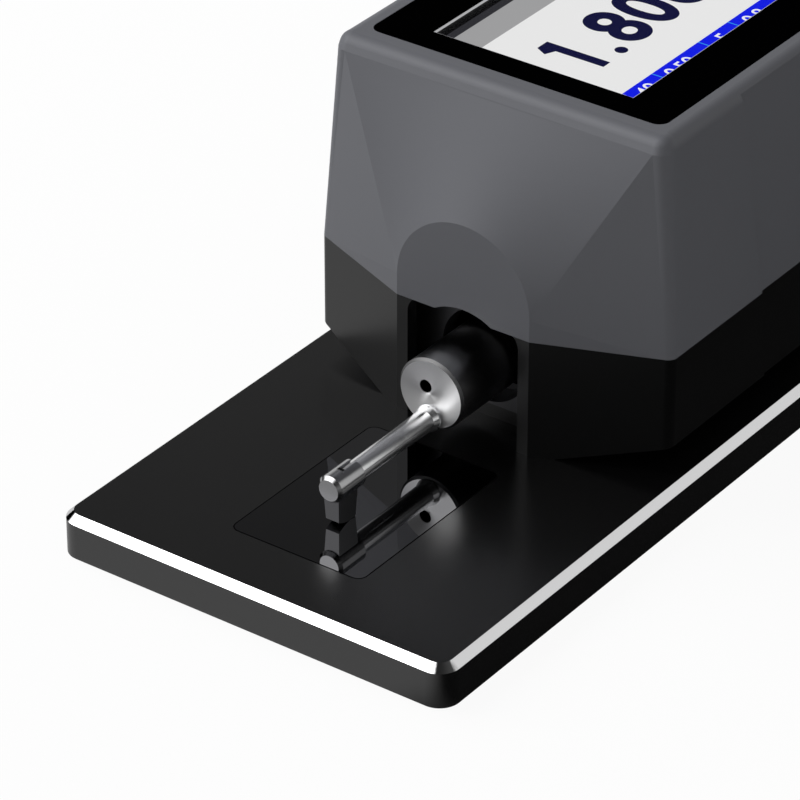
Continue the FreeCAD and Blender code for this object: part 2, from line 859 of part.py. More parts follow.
def upper_housing():
    """The grey cover: faceted shell, seat for the panel, openings under it, pillars and bosses."""
    deck = read("plate_thickness")
    parting = deck + read("parting_height")
    top = deck + read("housing_height")
    under = top - read("panel_thickness")
    ceiling = under - read("ceiling_thickness")
    outer = hood(0, deck + read("shoulder_height")).fuse(crown_cap())
    inner = hood(read("wall"), ceiling)
    shell = outer.cut(inner)
    for x, y in pillar_places():
        pillar = upright(read("pillar_radius"), x, y, parting, deck + read("pillar_top")).common(outer)
        shell = shell.fuse(pillar)
    for x, y in board_screw_places():
        shell = shell.fuse(upright(read("boss_radius"), x, y, ceiling - read("board_drop"),
                                   ceiling + read("ceiling_thickness") / 4))
    joint = read("panel_joint")
    panel_half = read("panel_width") / 2 + joint
    panel_front = nose_y() + read("panel_front")
    display_front = panel_front + read("window_setback")
    display_front -= (read("display_length") - read("window_length")) / 2
    display_half = read("display_width") / 2 + read("panel_joint")
    field_half = read("key_field_width") / 2
    field_front = nose_y() + read("key_field_front")
    socket_half = read("socket_width") / 2 + read("socket_joint")
    board_under = ceiling - read("board_drop") - read("board_thickness")
    seat = block(-panel_half, panel_half, panel_front - joint, panel_front + read("panel_length") + joint,
                 under, top + 1)
    seat_corners = [edge for edge in seat.Edges if edge.BoundBox.ZLength > 1]
    tools = [
        seat.makeFillet(read("panel_corner") + joint, seat_corners),
        block(-display_half, display_half, display_front - joint,
              display_front + read("display_length") + joint, ceiling - 1, top),
        block(-field_half, field_half, field_front, field_front + read("key_field_length"), ceiling - 1, top),
        block(-socket_half, socket_half, rear_y() - read("rear_lean") - 2 * read("wall"), rear_y() + 1,
              board_under - read("socket_height") - read("socket_joint"), board_under + read("socket_joint")),
        notch_tool(deck, read("wall") + 1),
        grip_hollows(),
    ]
    for x, y in pillar_places():
        tools.append(upright(read("case_screw_hole"), x, y, parting - 1,
                             deck + read("case_screw_seat") + read("case_screw_length") + 1))
    for x, y in board_screw_places():
        tools.append(upright(read("board_screw_hole"), x, y, ceiling - read("board_drop") - 1,
                             under - read("board_screw_skin")))
    for tool in tools:
        shell = shell.cut(tool)
    return shell.removeSplitter()


keep("lower_housing", feature("lower_housing", lower_housing()))
keep("upper_housing", feature("upper_housing", upper_housing()))

# Display panel: glossy black cover plate with the window and the key holes
PANEL_MIDDLE = f"{PANEL_EDGE} + size.panel_length / 2"
WINDOW_MIDDLE = f"{WINDOW_EDGE} + size.window_length / 2"
panel = new_body("display_panel")
sheet_blank = pad(panel, "panel_blank",
                  rectangle(panel, "panel_outline", "size.panel_width", "size.panel_length", 0,
                            PANEL_MIDDLE, PANEL_UNDER),
                  "size.panel_thickness")
sheet_blank = dress(panel, "Fillet", "panel_corners", sheet_blank, "size.panel_corner", is_upright)
pocket(panel, "window_opening",
       rectangle(panel, "window_outline", "size.window_width", "size.window_length", 0, WINDOW_MIDDLE, TOP),
       "size.panel_thickness + 1")
for label, radius, x, y in key_places():
    side = {"left_key": "-size.key_pitch", "right_key": "size.key_pitch"}.get(label, "0")
    row = {"start_key": "size.start_row", "power_key": "size.power_row"}.get(label, "size.key_row")
    if radius:
        outline = circle(panel, label + "_hole_outline", f"size.{radius} + size.key_gap", side,
                         f"{NOSE} + {row}", TOP)
    else:
        outline = rectangle(panel, label + "_hole_outline", "size.key_width + 2 * size.key_gap",
                            "size.key_length + 2 * size.key_gap", side, f"{NOSE} + {row}", TOP)
    pocket(panel, label + "_hole", outline, "size.panel_thickness + 1")
keep("display_panel", panel)

# Display window: clear pane that fills the panel's opening
keep("display_window",
     box("display_window", "size.window_width - 2 * size.window_joint",
         "size.window_length - 2 * size.window_joint", "size.window_thickness",
         0, f"{WINDOW_EDGE} + size.window_joint", f"{TOP} - size.window_thickness"))

# Display module: flat display on the board, close under the panel's opening
keep("display_module", box("display_module", "size.display_width", "size.display_length",
                           f"{PANEL_UNDER} - size.display_gap - {BOARD_TOP}", 0,
                           f"{WINDOW_MIDDLE} - size.display_length / 2", BOARD_TOP))

# Main board: carries the display, the key switches and the charging socket
board = new_body("main_board")
pad(board, "board_blank",
    rectangle(board, "board_outline", "size.board_width", "size.board_length", 0,
              f"{NOSE} + size.board_front + size.board_length / 2", BOARD_UNDER),
    "size.board_thickness")
BOSS_FRONT = f"{NOSE} + size.board_front + size.boss_inset"
BOSS_REAR = f"{NOSE} + size.board_front + size.board_length - size.boss_inset"
BOSS_SIDES = ("-size.boss_spacing / 2", "size.boss_spacing / 2")
for n, (x, y) in enumerate((x, y) for x in BOSS_SIDES for y in (BOSS_FRONT, BOSS_REAR)):
    outline = circle(board, f"board_hole_outline_{n}", "size.board_screw_hole", x, y, BOARD_TOP)
    pocket(board, f"board_hole_{n}", outline, "size.board_thickness + 1")
keep("main_board", board)

# Battery: flat pack taped under the board
pack = box("battery_block", "size.battery_width", "size.battery_length", "size.battery_thickness", 0,
           f"{NOSE} + size.battery_front", f"{BOARD_UNDER} - size.battery_thickness")
keep("battery_pack", rounded("battery_pack", pack, "battery_round",
                             lambda edge: not is_upright(edge) and abs(edge.tangentAt(0).y) > 0.99))

# Key switches: one under each key, soldered to the board
switches = []
for label, radius, x, y in key_places():
    side = {"left_key": "-size.key_pitch", "right_key": "size.key_pitch"}.get(label, "0")
    row = {"start_key": "size.start_row", "power_key": "size.power_row"}.get(label, "size.key_row")
    case = box(label + "_switch_case", "size.switch_side", "size.switch_side", "size.switch_height", side,
               f"{NOSE} + {row} - size.switch_side / 2", BOARD_TOP)
    plunger = rod(label + "_plunger", "size.plunger_radius", "size.plunger_height", side, f"{NOSE} + {row}",
                  f"{BOARD_TOP} + size.switch_height")
    switches.append(fuse(label + "_switch", [case, plunger]))
keep("key_switches", group("key_switches", switches))

# Keys: moulded caps held under the panel by a flange
FLANGE_TOP = f"({PANEL_UNDER} - size.key_flange_gap)"
FLANGE_UNDER = f"({FLANGE_TOP} - size.key_flange_thickness)"
for label, radius, x, y in key_places():
    side = {"left_key": "-size.key_pitch", "right_key": "size.key_pitch"}.get(label, "0")
    row = {"start_key": "size.start_row", "power_key": "size.power_row"}.get(label, "size.key_row")
    centre = f"{NOSE} + {row}"
    height = f"{TOP} + size.key_stand - {FLANGE_UNDER}"
    if radius:
        cap = rod(label + "_cap", f"size.{radius}", height, side, centre, FLANGE_UNDER)
        flange = rod(label + "_flange", f"size.{radius} + size.key_flange", "size.key_flange_thickness",
                     side, centre, FLANGE_UNDER)
    else:
        cap = box(label + "_cap", "size.key_width", "size.key_length", height, side,
                  f"{centre} - size.key_length / 2", FLANGE_UNDER)
        flange = box(label + "_flange", "size.key_width + 2 * size.key_flange",
                     "size.key_length + 2 * size.key_flange", "size.key_flange_thickness", side,
                     f"{centre} - size.key_length / 2 - size.key_flange", FLANGE_UNDER)
    doc.recompute()
    cap = bevelled(label + "_bevelled_cap", cap, "key_bevel", is_at_top(cap.Shape))
    stem = rod(label + "_stem", "size.key_stem_radius", "size.key_stem_length + size.key_flange_thickness",
               side, centre, f"{FLANGE_UNDER} - size.key_stem_length")
    keep(label, fuse(label, [cap, flange, stem]))

# Charging socket: pressed metal shell with a contact tongue, under the board's rear edge
SOCKET_Z = f"({BOARD_UNDER} - size.socket_height)"
SOCKET_END = f"({NOSE} + size.housing_length - size.rear_lean - size.socket_recess)"
socket_shell = box("socket_shell", "size.socket_width", "size.socket_length", "size.socket_height", 0,
                   f"{SOCKET_END} - size.socket_length", SOCKET_Z)
socket_hollow = box("socket_hollow", "size.socket_width - 2 * size.socket_wall", "size.socket_length",
                    "size.socket_height - 2 * size.socket_wall", 0,
                    f"{SOCKET_END} - size.socket_length + 2 * size.socket_wall",
                    f"{SOCKET_Z} + size.socket_wall")
tongue = box("socket_tongue", "size.tongue_width", "size.tongue_length", "size.tongue_height", 0,
             f"{SOCKET_END} - size.socket_length + size.socket_wall",
             f"{SOCKET_Z} + size.socket_height / 2 - size.tongue_height / 2")
keep("charging_socket", fuse("charging_socket", [cut("socket_case", socket_shell, [socket_hollow]), tongue]))

# Drive frame: floor and three walls that carry the rails, the lead screw and the motor
frame_floor = box("frame_floor", "size.frame_floor_width",
                  "size.motor_wall_setback + size.frame_wall - size.frame_front", "size.frame_floor",
                  0, FRAME_Y, FLOOR)
FRAME_WALL_HEIGHT = "size.frame_height - size.wall - size.frame_floor"
FRAME_DECK = f"({FLOOR} + size.frame_floor)"
walls = []
for name, y in (("front", FRAME_Y), ("rear", REAR_WALL_Y), ("motor", MOTOR_WALL_Y)):
    foot = box(f"frame_{name}_foot", "size.frame_floor_width", "size.frame_wall", "size.frame_floor", 0, y,
               FLOOR)
    upright_wall = box(f"frame_{name}_wall", "size.frame_width", "size.frame_wall", FRAME_WALL_HEIGHT, 0, y,
                       FRAME_DECK)
    walls += [foot, upright_wall]
SCREW_SIDES = ("-size.frame_screw_spacing / 2", "size.frame_screw_spacing / 2")
SCREW_ROWS = (f"({FRAME_Y} + size.frame_wall + size.frame_screw_inset)",
              f"({MOTOR_WALL_Y} - size.frame_screw_inset)")
frame_screw_spots = [(x, y) for x in SCREW_SIDES for y in SCREW_ROWS]
for n, (x, y) in enumerate(frame_screw_spots):
    walls.append(rod(f"frame_pad_{n}", "size.frame_pad_radius", "size.frame_pad_height", x, y, FLOOR))
frame_cuts = [
    rod("pickup_port", "size.port_radius", "size.frame_wall + 2", 0, f"{FRAME_Y} - 1", PICKUP_Z, ALONG_Y),
    rod("front_bush_hole", "size.bush_radius + size.bush_fit", "size.frame_wall", 0,
        f"{FRAME_Y} + size.blind_wall", SCREW_Z, ALONG_Y),
    rod("rear_bush_hole", "size.bush_radius + size.bush_fit", "size.frame_wall + 2", 0,
        f"{REAR_WALL_Y} - 1", SCREW_Z, ALONG_Y),
    rod("motor_shaft_hole", "size.motor_shaft_radius + size.motor_shaft_play", "size.frame_wall + 2", 0,
        f"{MOTOR_WALL_Y} - 1", SCREW_Z, ALONG_Y),
]
RAIL_SIDES = ("-size.rail_spacing / 2", "size.rail_spacing / 2")
RAIL_START = f"({FRAME_Y} + size.blind_wall)"
RAIL_LENGTH = f"({REAR_WALL_Y} + size.frame_wall - {RAIL_START})"
for n, x in enumerate(RAIL_SIDES):
    frame_cuts.append(rod(f"rail_hole_{n}", "size.rail_radius + size.rail_fit", RAIL_LENGTH, x, RAIL_START,
                          RAIL_Z, ALONG_Y))
for n, (x, y) in enumerate(frame_screw_spots):
    frame_cuts.append(rod(f"frame_screw_hole_{n}", "size.frame_screw_hole", "size.frame_pad_height + 2", x, y,
                          f"{FLOOR} - 1"))
frame_blank = fuse("frame_blank", [frame_floor] + walls)
keep("drive_frame", cut("drive_frame", frame_blank, frame_cuts))

# Guide rails: two ground rods
rails = [rod(f"guide_rail_{n}", "size.rail_radius", RAIL_LENGTH, x, RAIL_START, RAIL_Z, ALONG_Y)
         for n, x in enumerate(RAIL_SIDES)]
keep("guide_rails", group("guide_rails", rails))


def bush(label, sleeve_y, sleeve_length, flange_y):
    """A flanged bronze bush for the lead screw."""
    sleeve = rod(label + "_sleeve", "size.bush_radius", sleeve_length, 0, sleeve_y, SCREW_Z, ALONG_Y)
    flange = rod(label + "_flange", "size.bush_flange_radius", "size.bush_flange", 0, flange_y, SCREW_Z,
                 ALONG_Y)
    bore = rod(label + "_bore", "size.screw_radius + size.running_fit", "2 * size.frame_wall + 4", 0,
               f"{sleeve_y} - 1", SCREW_Z, ALONG_Y)
    return keep(label, cut(label, fuse(label + "_blank", [sleeve, flange]), [bore]))


bush("front_bush", f"({FRAME_Y} + size.blind_wall)", "size.frame_wall - size.blind_wall + size.bush_flange",
     f"({FRAME_Y} + size.frame_wall)")
bush("rear_bush", f"({REAR_WALL_Y} - size.bush_flange)", "size.frame_wall + size.bush_flange",
     f"({REAR_WALL_Y} - size.bush_flange)")

# Lead screw: its thread is left plain
SCREW_START = f"({FRAME_Y} + size.blind_wall + size.shaft_end_gap)"
COUPLING_Y = f"({REAR_WALL_Y} + size.frame_wall + size.coupling_gap)"
COUPLING_MIDDLE = f"({COUPLING_Y} + size.coupling_length / 2)"
keep("lead_screw", rod("lead_screw", "size.screw_radius",
                       f"{COUPLING_MIDDLE} - size.shaft_end_gap - {SCREW_START}", 0, SCREW_START, SCREW_Z,
                       ALONG_Y))

# Shaft coupling: joins the lead screw to the motor's shaft
coupling_bar = rod("coupling_bar", "size.coupling_radius", "size.coupling_length", 0, COUPLING_Y, SCREW_Z,
                   ALONG_Y)
screw_socket = rod("coupling_screw_bore", "size.screw_radius + size.bush_fit",
                   "size.coupling_length / 2", 0, COUPLING_Y, SCREW_Z, ALONG_Y)
shaft_socket = rod("coupling_shaft_bore", "size.motor_shaft_radius + size.bush_fit",
                   "size.coupling_length / 2 + 1", 0, COUPLING_MIDDLE, SCREW_Z, ALONG_Y)
keep("shaft_coupling", cut("shaft_coupling", coupling_bar, [screw_socket, shaft_socket]))

# Motor shaft, from the coupling into the gearbox
SHAFT_START = f"({COUPLING_MIDDLE} + size.shaft_end_gap)"
keep("motor_shaft", rod("motor_shaft", "size.motor_shaft_radius",
                        f"{MOTOR_Y} + size.motor_shaft_depth - {SHAFT_START}", 0, SHAFT_START, SCREW_Z,
                        ALONG_Y))

# Gear motor: gearbox with the motor behind it, on the frame's last wall
gearbox = rod("gearbox", "size.motor_radius", "size.gearbox_length", 0, MOTOR_Y, SCREW_Z, ALONG_Y)
motor_can = rod("motor_can", "size.motor_radius - size.gearbox_rim", "size.motor_length", 0, MOTOR_Y, SCREW_Z,
                ALONG_Y)
shaft_bore = rod("motor_bore", "size.motor_shaft_radius + size.running_fit",
                 "size.motor_shaft_depth + size.shaft_end_gap", 0, MOTOR_Y, SCREW_Z, ALONG_Y)
keep("gear_motor", cut("gear_motor", fuse("motor_blank", [gearbox, motor_can]), [shaft_bore]))

# Carriage: aluminium block that slides on the rails
block_low = box("carriage_block", "size.carriage_width", "size.carriage_length",
                "size.carriage_deck - size.carriage_base", 0, CARRIAGE_Y, f"{DECK} + size.carriage_base")
block_high = box("carriage_neck", "size.carriage_neck_width", "size.carriage_length",
                 "size.carriage_top - size.carriage_base", 0, CARRIAGE_Y, f"{DECK} + size.carriage_base")
carriage_cuts = [
    rod("holder_hole", "size.chamber_radius", "size.carriage_length + 2", 0, f"{CARRIAGE_Y} - 1", PICKUP_Z,
        ALONG_Y),
    rod("nut_hole", "size.nut_radius + size.bush_fit", "size.carriage_length + 2", 0, f"{CARRIAGE_Y} - 1",
        SCREW_Z, ALONG_Y),
]
for n, x in enumerate(RAIL_SIDES):
    carriage_cuts.append(rod(f"carriage_rail_hole_{n}", "size.rail_radius + size.running_fit",
                             "size.carriage_length + 2", x, f"{CARRIAGE_Y} - 1", RAIL_Z, ALONG_Y))
keep("carriage", cut("carriage", fuse("carriage_blank", [block_low, block_high]), carriage_cuts))

# Drive nut: flanged brass nut on the lead screw
nut_body = rod("nut_body", "size.nut_radius", "size.carriage_length + size.nut_flange", 0,
               f"{CARRIAGE_Y} - size.nut_flange", SCREW_Z, ALONG_Y)
nut_flange = rod("nut_flange", "size.nut_flange_radius", "size.nut_flange", 0,
                 f"{CARRIAGE_Y} - size.nut_flange", SCREW_Z, ALONG_Y)
nut_bore = rod("nut_bore", "size.screw_radius + size.running_fit", "size.carriage_length + 10", 0,
               f"{CARRIAGE_Y} - 5", SCREW_Z, ALONG_Y)
keep("drive_nut", cut("drive_nut", fuse("nut_blank", [nut_body, nut_flange]), [nut_bore]))

# Pickup holder: socket tube in the carriage that the pickup plugs onto
HOLDER_RADIUS = "(size.chamber_radius - size.bush_fit)"
holder_tube = rod("holder_tube", HOLDER_RADIUS, "size.spigot_depth + size.carriage_length", 0,
                  f"{CARRIAGE_Y} - size.spigot_depth", PICKUP_Z, ALONG_Y)
holder_bore = rod("holder_bore", "size.spigot_bore", "size.spigot_depth + size.carriage_length + 2", 0,
                  f"{CARRIAGE_Y} - size.spigot_depth - 1", PICKUP_Z, ALONG_Y)
keep("pickup_holder", cut("pickup_holder", holder_tube, [holder_bore]))

# Pickup body: turned steel barrel with a rimmed front face and a chamber for the lever
PICKUP_END = f"({CARRIAGE_Y} - 0.1)"
barrel = rod("pickup_barrel", "size.pickup_radius", f"{PICKUP_END} - {PICKUP_Y} - size.pickup_rim", 0,
             f"{PICKUP_Y} + size.pickup_rim", PICKUP_Z, ALONG_Y)
rim = taper("pickup_rim", "size.pickup_radius - size.pickup_rim", "size.pickup_radius", "size.pickup_rim", 0,
            PICKUP_Y, PICKUP_Z, ALONG_Y)
pickup_cuts = [
    rod("chamber", "size.chamber_radius", f"{PICKUP_END} - {CHAMBER_Y} + 1", 0, CHAMBER_Y, PICKUP_Z, ALONG_Y),
    rod("stem_seat", "size.stem_root_radius", "size.chamber_wall + 2", 0, f"{PICKUP_Y} - 1", STEM_Z, ALONG_Y),
    rod("face_hole", "size.face_hole_radius", "size.face_hole_depth + 1", "-size.face_hole_side",
        f"{PICKUP_Y} - 1", f"{PICKUP_Z} + size.face_hole_rise", ALONG_Y),
    rod("pivot_hole", "size.pivot_radius + size.bush_fit", "size.pivot_length + 2 * size.pivot_end_gap",
        "-size.pivot_length / 2 - size.pivot_end_gap", PIVOT_Y, STEM_Z, ALONG_X),
]
keep("pickup_body", cut("pickup_body", fuse("pickup_blank", [barrel, rim]), pickup_cuts))

# Pickup stem: polished tube, flared at its root to a short collar, with a neck between collar and body
NECK_Y = f"({PICKUP_Y} - size.stem_neck_length)"
COLLAR_Y = f"({NECK_Y} - size.stem_collar_edge - size.stem_collar_length)"
STEM_START = f"({HEAD_END} - size.head_socket)"
stem_tube = rod("stem_tube", "size.stem_radius", f"{COLLAR_Y} - {STEM_START}", 0, STEM_START, STEM_Z, ALONG_Y)
stem_flare = taper("stem_flare", "size.stem_radius", "size.stem_flare_radius", "size.stem_flare_length", 0,
                   f"{COLLAR_Y} - size.stem_flare_length", STEM_Z, ALONG_Y)
stem_collar = taper("stem_collar", "size.stem_flare_radius", "size.stem_collar_radius",
                    "size.stem_collar_length", 0, COLLAR_Y, STEM_Z, ALONG_Y)
stem_edge = rod("stem_collar_edge", "size.stem_collar_radius", "size.stem_collar_edge", 0,
                f"{NECK_Y} - size.stem_collar_edge", STEM_Z, ALONG_Y)
stem_root = rod("stem_root", "size.stem_root_radius - size.bush_fit",
                "size.chamber_wall + size.stem_neck_length", 0, NECK_Y, STEM_Z, ALONG_Y)
stem_bore = rod("stem_bore", "size.stem_bore", f"{CHAMBER_Y} - {STEM_START} + 2", 0, f"{STEM_START} - 1",
                STEM_Z, ALONG_Y)
stem_blank = fuse("stem_blank", [stem_tube, stem_flare, stem_collar, stem_edge, stem_root])
keep("pickup_stem", cut("pickup_stem", stem_blank, [stem_bore]))

# Pickup head: short thimble pressed over the stem's end, slit on top from its sight hole to the back
head_rim = taper("head_rim", "size.head_radius - size.head_rim", "size.head_radius", "size.head_rim", 0,
                 HEAD_Y, STEM_Z, ALONG_Y)
head_bar = rod("head_bar", "size.head_radius", "size.head_length - size.head_rim", 0,
               f"{HEAD_Y} + size.head_rim", STEM_Z, ALONG_Y)
head_cuts = [
    rod("head_bore", "size.stem_bore", "size.head_length", 0, f"{HEAD_Y} + size.head_front_wall", STEM_Z,
        ALONG_Y),
    rod("head_slot", "size.skid_slot_radius", "size.head_radius + 1", 0, STYLUS_Y,
        f"{STEM_Z} - size.head_radius - 1"),
    rod("head_socket", "size.stem_radius + size.bush_fit", "size.head_socket + 1", 0, STEM_START, STEM_Z,
        ALONG_Y),
    box("sight_slot", "size.sight_slot_width", "size.head_length", "size.head_radius + 1", 0,
        f"{HEAD_Y} + size.sight_slot_setback", STEM_Z),
]
keep("pickup_head", cut("pickup_head", fuse("head_blank", [head_rim, head_bar]), head_cuts))


def skid():
    """The hard foot under the head: tapered, with a curved sole, and hollow for the stylus."""
    deck = read("plate_thickness")
    stem_z = deck + read("stem_height")
    head_y = read("head_setback") - read("plate_length") / 2
    front = head_y + read("skid_setback")
    foot = deck + read("skid_lift")
    sections = []
    for width, length, z in ((read("skid_foot_width"), read("skid_foot_length"), foot),
                             (read("skid_width"), read("skid_length"), stem_z)):
        start = front + (read("skid_length") - length) / 2
        points = [Vector(-width / 2, start, z), Vector(width / 2, start, z),
                  Vector(width / 2, start + length, z), Vector(-width / 2, start + length, z)]
        sections.append(Part.makePolygon(points + points[:1]))
    radius = read("skid_sole_radius")
    sole = Part.makeCylinder(radius, 2 * read("skid_width"),
                             Vector(-read("skid_width"), head_y + read("skid_sole_setback"), foot + radius),
                             Vector(1, 0, 0))
    foot_block = Part.makeLoft(sections, True, True).common(sole)
    head = Part.makeCylinder(read("head_radius"), read("head_length") + 2,
                             Vector(0, head_y - 1, stem_z), Vector(0, 1, 0))
    slot = upright(read("skid_slot_radius"), 0, head_y + read("stylus_setback"), deck - 1, stem_z)
    return foot_block.cut(head).cut(slot)


keep("skid", feature("skid", skid()))

# Stylus lever: fine rod that rocks on the pivot pin, with an armature at its back end
lever_rod = rod("lever_rod", "size.lever_radius", f"{PIVOT_Y} + size.lever_tail - {STYLUS_Y}", 0,
                STYLUS_Y, STEM_Z, ALONG_Y)
lever_eye = rod("lever_eye", "size.lever_eye_radius", "size.lever_eye_length", 0,
                f"{STYLUS_Y} - size.lever_eye_length / 2", STEM_Z, ALONG_Y)
lever_hub = rod("lever_hub", "size.lever_hub_radius", "size.lever_hub_width", "-size.lever_hub_width / 2",
                PIVOT_Y, STEM_Z, ALONG_X)
armature = box("lever_armature", "size.armature_width", "size.armature_length", "size.armature_thickness", 0,
               f"{PIVOT_Y} + size.lever_tail - size.armature_length", STEM_Z)
lever_blank = fuse("lever_blank", [lever_rod, lever_eye, lever_hub, armature])
lever_hole = rod("lever_hole", "size.pivot_radius + size.running_fit", "size.lever_hub_width + 2",
                 "-size.lever_hub_width / 2 - 1", PIVOT_Y, STEM_Z, ALONG_X)
stylus_hole = rod("stylus_hole", "size.stylus_radius", "size.lever_eye_radius + 1", 0, STYLUS_Y,
                  f"{STEM_Z} - size.lever_eye_radius - 1")
keep("stylus_lever", cut("stylus_lever", lever_blank, [lever_hole, stylus_hole]))

# Stylus: hard shank with a cone point, set into the lever's front end
STYLUS_FOOT = f"({DECK} + size.skid_lift)"
stylus_shank = rod("stylus_shank", "size.stylus_radius",
                   f"{STEM_Z} - {STYLUS_FOOT} - size.stylus_point", 0, STYLUS_Y,
                   f"{STYLUS_FOOT} + size.stylus_point")
stylus_cone = taper("stylus_cone", "0.05", "size.stylus_radius", "size.stylus_point", 0, STYLUS_Y,
                    STYLUS_FOOT)
keep("stylus_tip", fuse("stylus_tip", [stylus_shank, stylus_cone]))

# Pivot pin: the lever's axle, held in the pickup body
keep("pivot_pin", rod("pivot_pin", "size.pivot_radius", "size.pivot_length", "-size.pivot_length / 2",
                      PIVOT_Y, STEM_Z, ALONG_X))

# Sensor coil: half-round block glued in the roof of the chamber, above the armature
COIL_Z = f"({STEM_Z} + size.armature_thickness + size.coil_gap)"
coil_round = rod("coil_round", "size.chamber_radius - size.bush_fit", "size.coil_length", 0,
                 f"{PIVOT_Y} + size.lever_tail - size.coil_length", PICKUP_Z, ALONG_Y)
coil_block = box("coil_block", "2 * size.chamber_radius", "size.coil_length", "2 * size.chamber_radius", 0,
                 f"{PIVOT_Y} + size.lever_tail - size.coil_length", COIL_Z)
coil = doc.addObject("Part::Common", "sensor_coil")
coil.Base = coil_round
coil.Tool = coil_block
keep("sensor_coil", coil)


def screws(label, spots, shank, head, seat, head_height, length):
    """A set of pan-head screws that point up, their heads under the seat."""
    pieces = []
    for n, (x, y) in enumerate(spots):
        shaft = rod(f"{label}_shank_{n}", f"size.{shank}", length, x, y, seat)
        cap = rod(f"{label}_head_{n}", f"size.{head}", f"size.{head_height}", x, y,
                  f"{seat} - size.{head_height}")
        pieces.append(fuse(f"{label}_{n}", [shaft, cap]))
    return keep(label, group(label, pieces))


PILLAR_SIDES = ("size.pillar_inset - size.housing_width / 2", "size.housing_width / 2 - size.pillar_inset")
PILLAR_ROWS = (f"({NOSE} + size.pillar_front)", f"({NOSE} + size.pillar_rear)")
screws("housing_screws", [(x, y) for x in PILLAR_SIDES for y in PILLAR_ROWS], "case_screw", "case_screw_head",
       f"({DECK} + size.case_screw_seat)", "case_screw_head_height", "size.case_screw_length")
screws("frame_screws", frame_screw_spots, "frame_screw", "frame_screw_head",
       f"({DECK} + size.frame_screw_head_height + size.screw_head_gap)", "frame_screw_head_height",
       "size.wall - size.frame_screw_head_height + size.frame_pad_height - size.frame_screw_short")
screws("board_screws", [(x, y) for x in BOSS_SIDES for y in (f"({BOSS_FRONT})", f"({BOSS_REAR})")],
       "board_screw", "board_screw_head", BOARD_UNDER, "board_screw_head_height",
       "size.board_thickness + size.board_drop - size.board_screw_short")

doc.recompute()
for item in doc.Objects:
    if "Invalid" in item.State or "Error" in item.State:
        raise RuntimeError(f"{item.Name} failed: {item.State}")

os.makedirs("parts", exist_ok=True)
for item in PIECES:
    if item.Shape.isNull() or not item.Shape.isValid():
        raise RuntimeError(f"{item.Label} has no valid shape")
    item.Shape.exportStep(f"parts/{item.Label}.step")
    print(item.Label, len(item.Shape.Solids), round(item.Shape.Volume, 1))
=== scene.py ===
import bpy
import math
from mathutils import Matrix, Vector


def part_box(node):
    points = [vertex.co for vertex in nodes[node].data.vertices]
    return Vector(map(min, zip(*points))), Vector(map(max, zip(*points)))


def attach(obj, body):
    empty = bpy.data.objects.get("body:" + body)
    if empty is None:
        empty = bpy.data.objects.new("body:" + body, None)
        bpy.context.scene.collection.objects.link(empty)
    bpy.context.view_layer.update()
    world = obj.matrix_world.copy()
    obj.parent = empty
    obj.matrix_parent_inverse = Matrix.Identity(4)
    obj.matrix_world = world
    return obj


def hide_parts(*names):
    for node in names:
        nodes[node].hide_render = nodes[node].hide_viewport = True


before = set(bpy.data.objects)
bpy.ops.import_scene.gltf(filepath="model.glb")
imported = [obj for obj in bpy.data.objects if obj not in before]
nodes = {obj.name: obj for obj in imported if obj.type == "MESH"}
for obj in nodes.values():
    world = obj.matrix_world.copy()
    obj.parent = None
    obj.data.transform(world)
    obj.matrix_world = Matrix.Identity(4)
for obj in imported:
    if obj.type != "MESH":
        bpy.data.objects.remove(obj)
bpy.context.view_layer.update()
MM = 0.001

# Base plate: milled aluminium flat bar, black anodised with a fine matte grain. The chamfer round its top
# is cut after anodising and polished bright.
PLATE_BLACK = (0.0025, 0.0025, 0.0026, 1.0)
CHAMFER_BRIGHT = (0.93, 0.93, 0.935, 1.0)
CHAMFER_ROUGHNESS = 0.07
CHAMFER_SLOPE = math.sqrt(0.5)
CHAMFER_SLOPE_PLAY = 0.15
# the grain: fine noise for the relief, and broad patches for the roughness
FINE_DETAIL = 2.0
PATCH_SCALE = 45.0
PATCH_DETAIL = 3.0
PATCH_MIDDLE = 0.5
GRAIN_HEIGHT = 0.02 * MM


def new_material(name):
    """A material with its Principled shader, ready to be wired."""
    material = bpy.data.materials.new(name)
    material.use_nodes = True
    tree = material.node_tree
    return material, tree, tree.nodes["Principled BSDF"]


def paint(node, material):
    """Gives every slot of a carried-over piece the material."""
    piece = nodes[node]
    piece.data.materials.clear()
    piece.data.materials.append(material)


def feed(tree, socket, value):
    """Gives a socket a plain value, or links another node's output to it."""
    if isinstance(value, bpy.types.NodeSocket):
        tree.links.new(value, socket)
    else:
        socket.default_value = value


def reckoned(tree, operation, *values):
    """The result of a Math node."""
    node = tree.nodes.new("ShaderNodeMath")
    node.operation = operation
    for socket, value in zip(node.inputs, values):
        feed(tree, socket, value)
    return node.outputs[0]


def mixed(tree, share, first, second, colours=False):
    """Two numbers or two colours mixed by a share. A Mix node has its own sockets for each kind."""
    node = tree.nodes.new("ShaderNodeMix")
    node.data_type = "RGBA" if colours else "FLOAT"
    first_socket, second_socket, result = (6, 7, 2) if colours else (2, 3, 0)
    feed(tree, node.inputs[0], share)
    feed(tree, node.inputs[first_socket], first)
    feed(tree, node.inputs[second_socket], second)
    return node.outputs[result]


def facing(tree, axis):
    """How far a face's own normal leans towards an axis."""
    surface = tree.nodes.new("ShaderNodeNewGeometry")
    parts = tree.nodes.new("ShaderNodeSeparateXYZ")
    tree.links.new(surface.outputs["True Normal"], parts.inputs[0])
    return parts.outputs[axis]


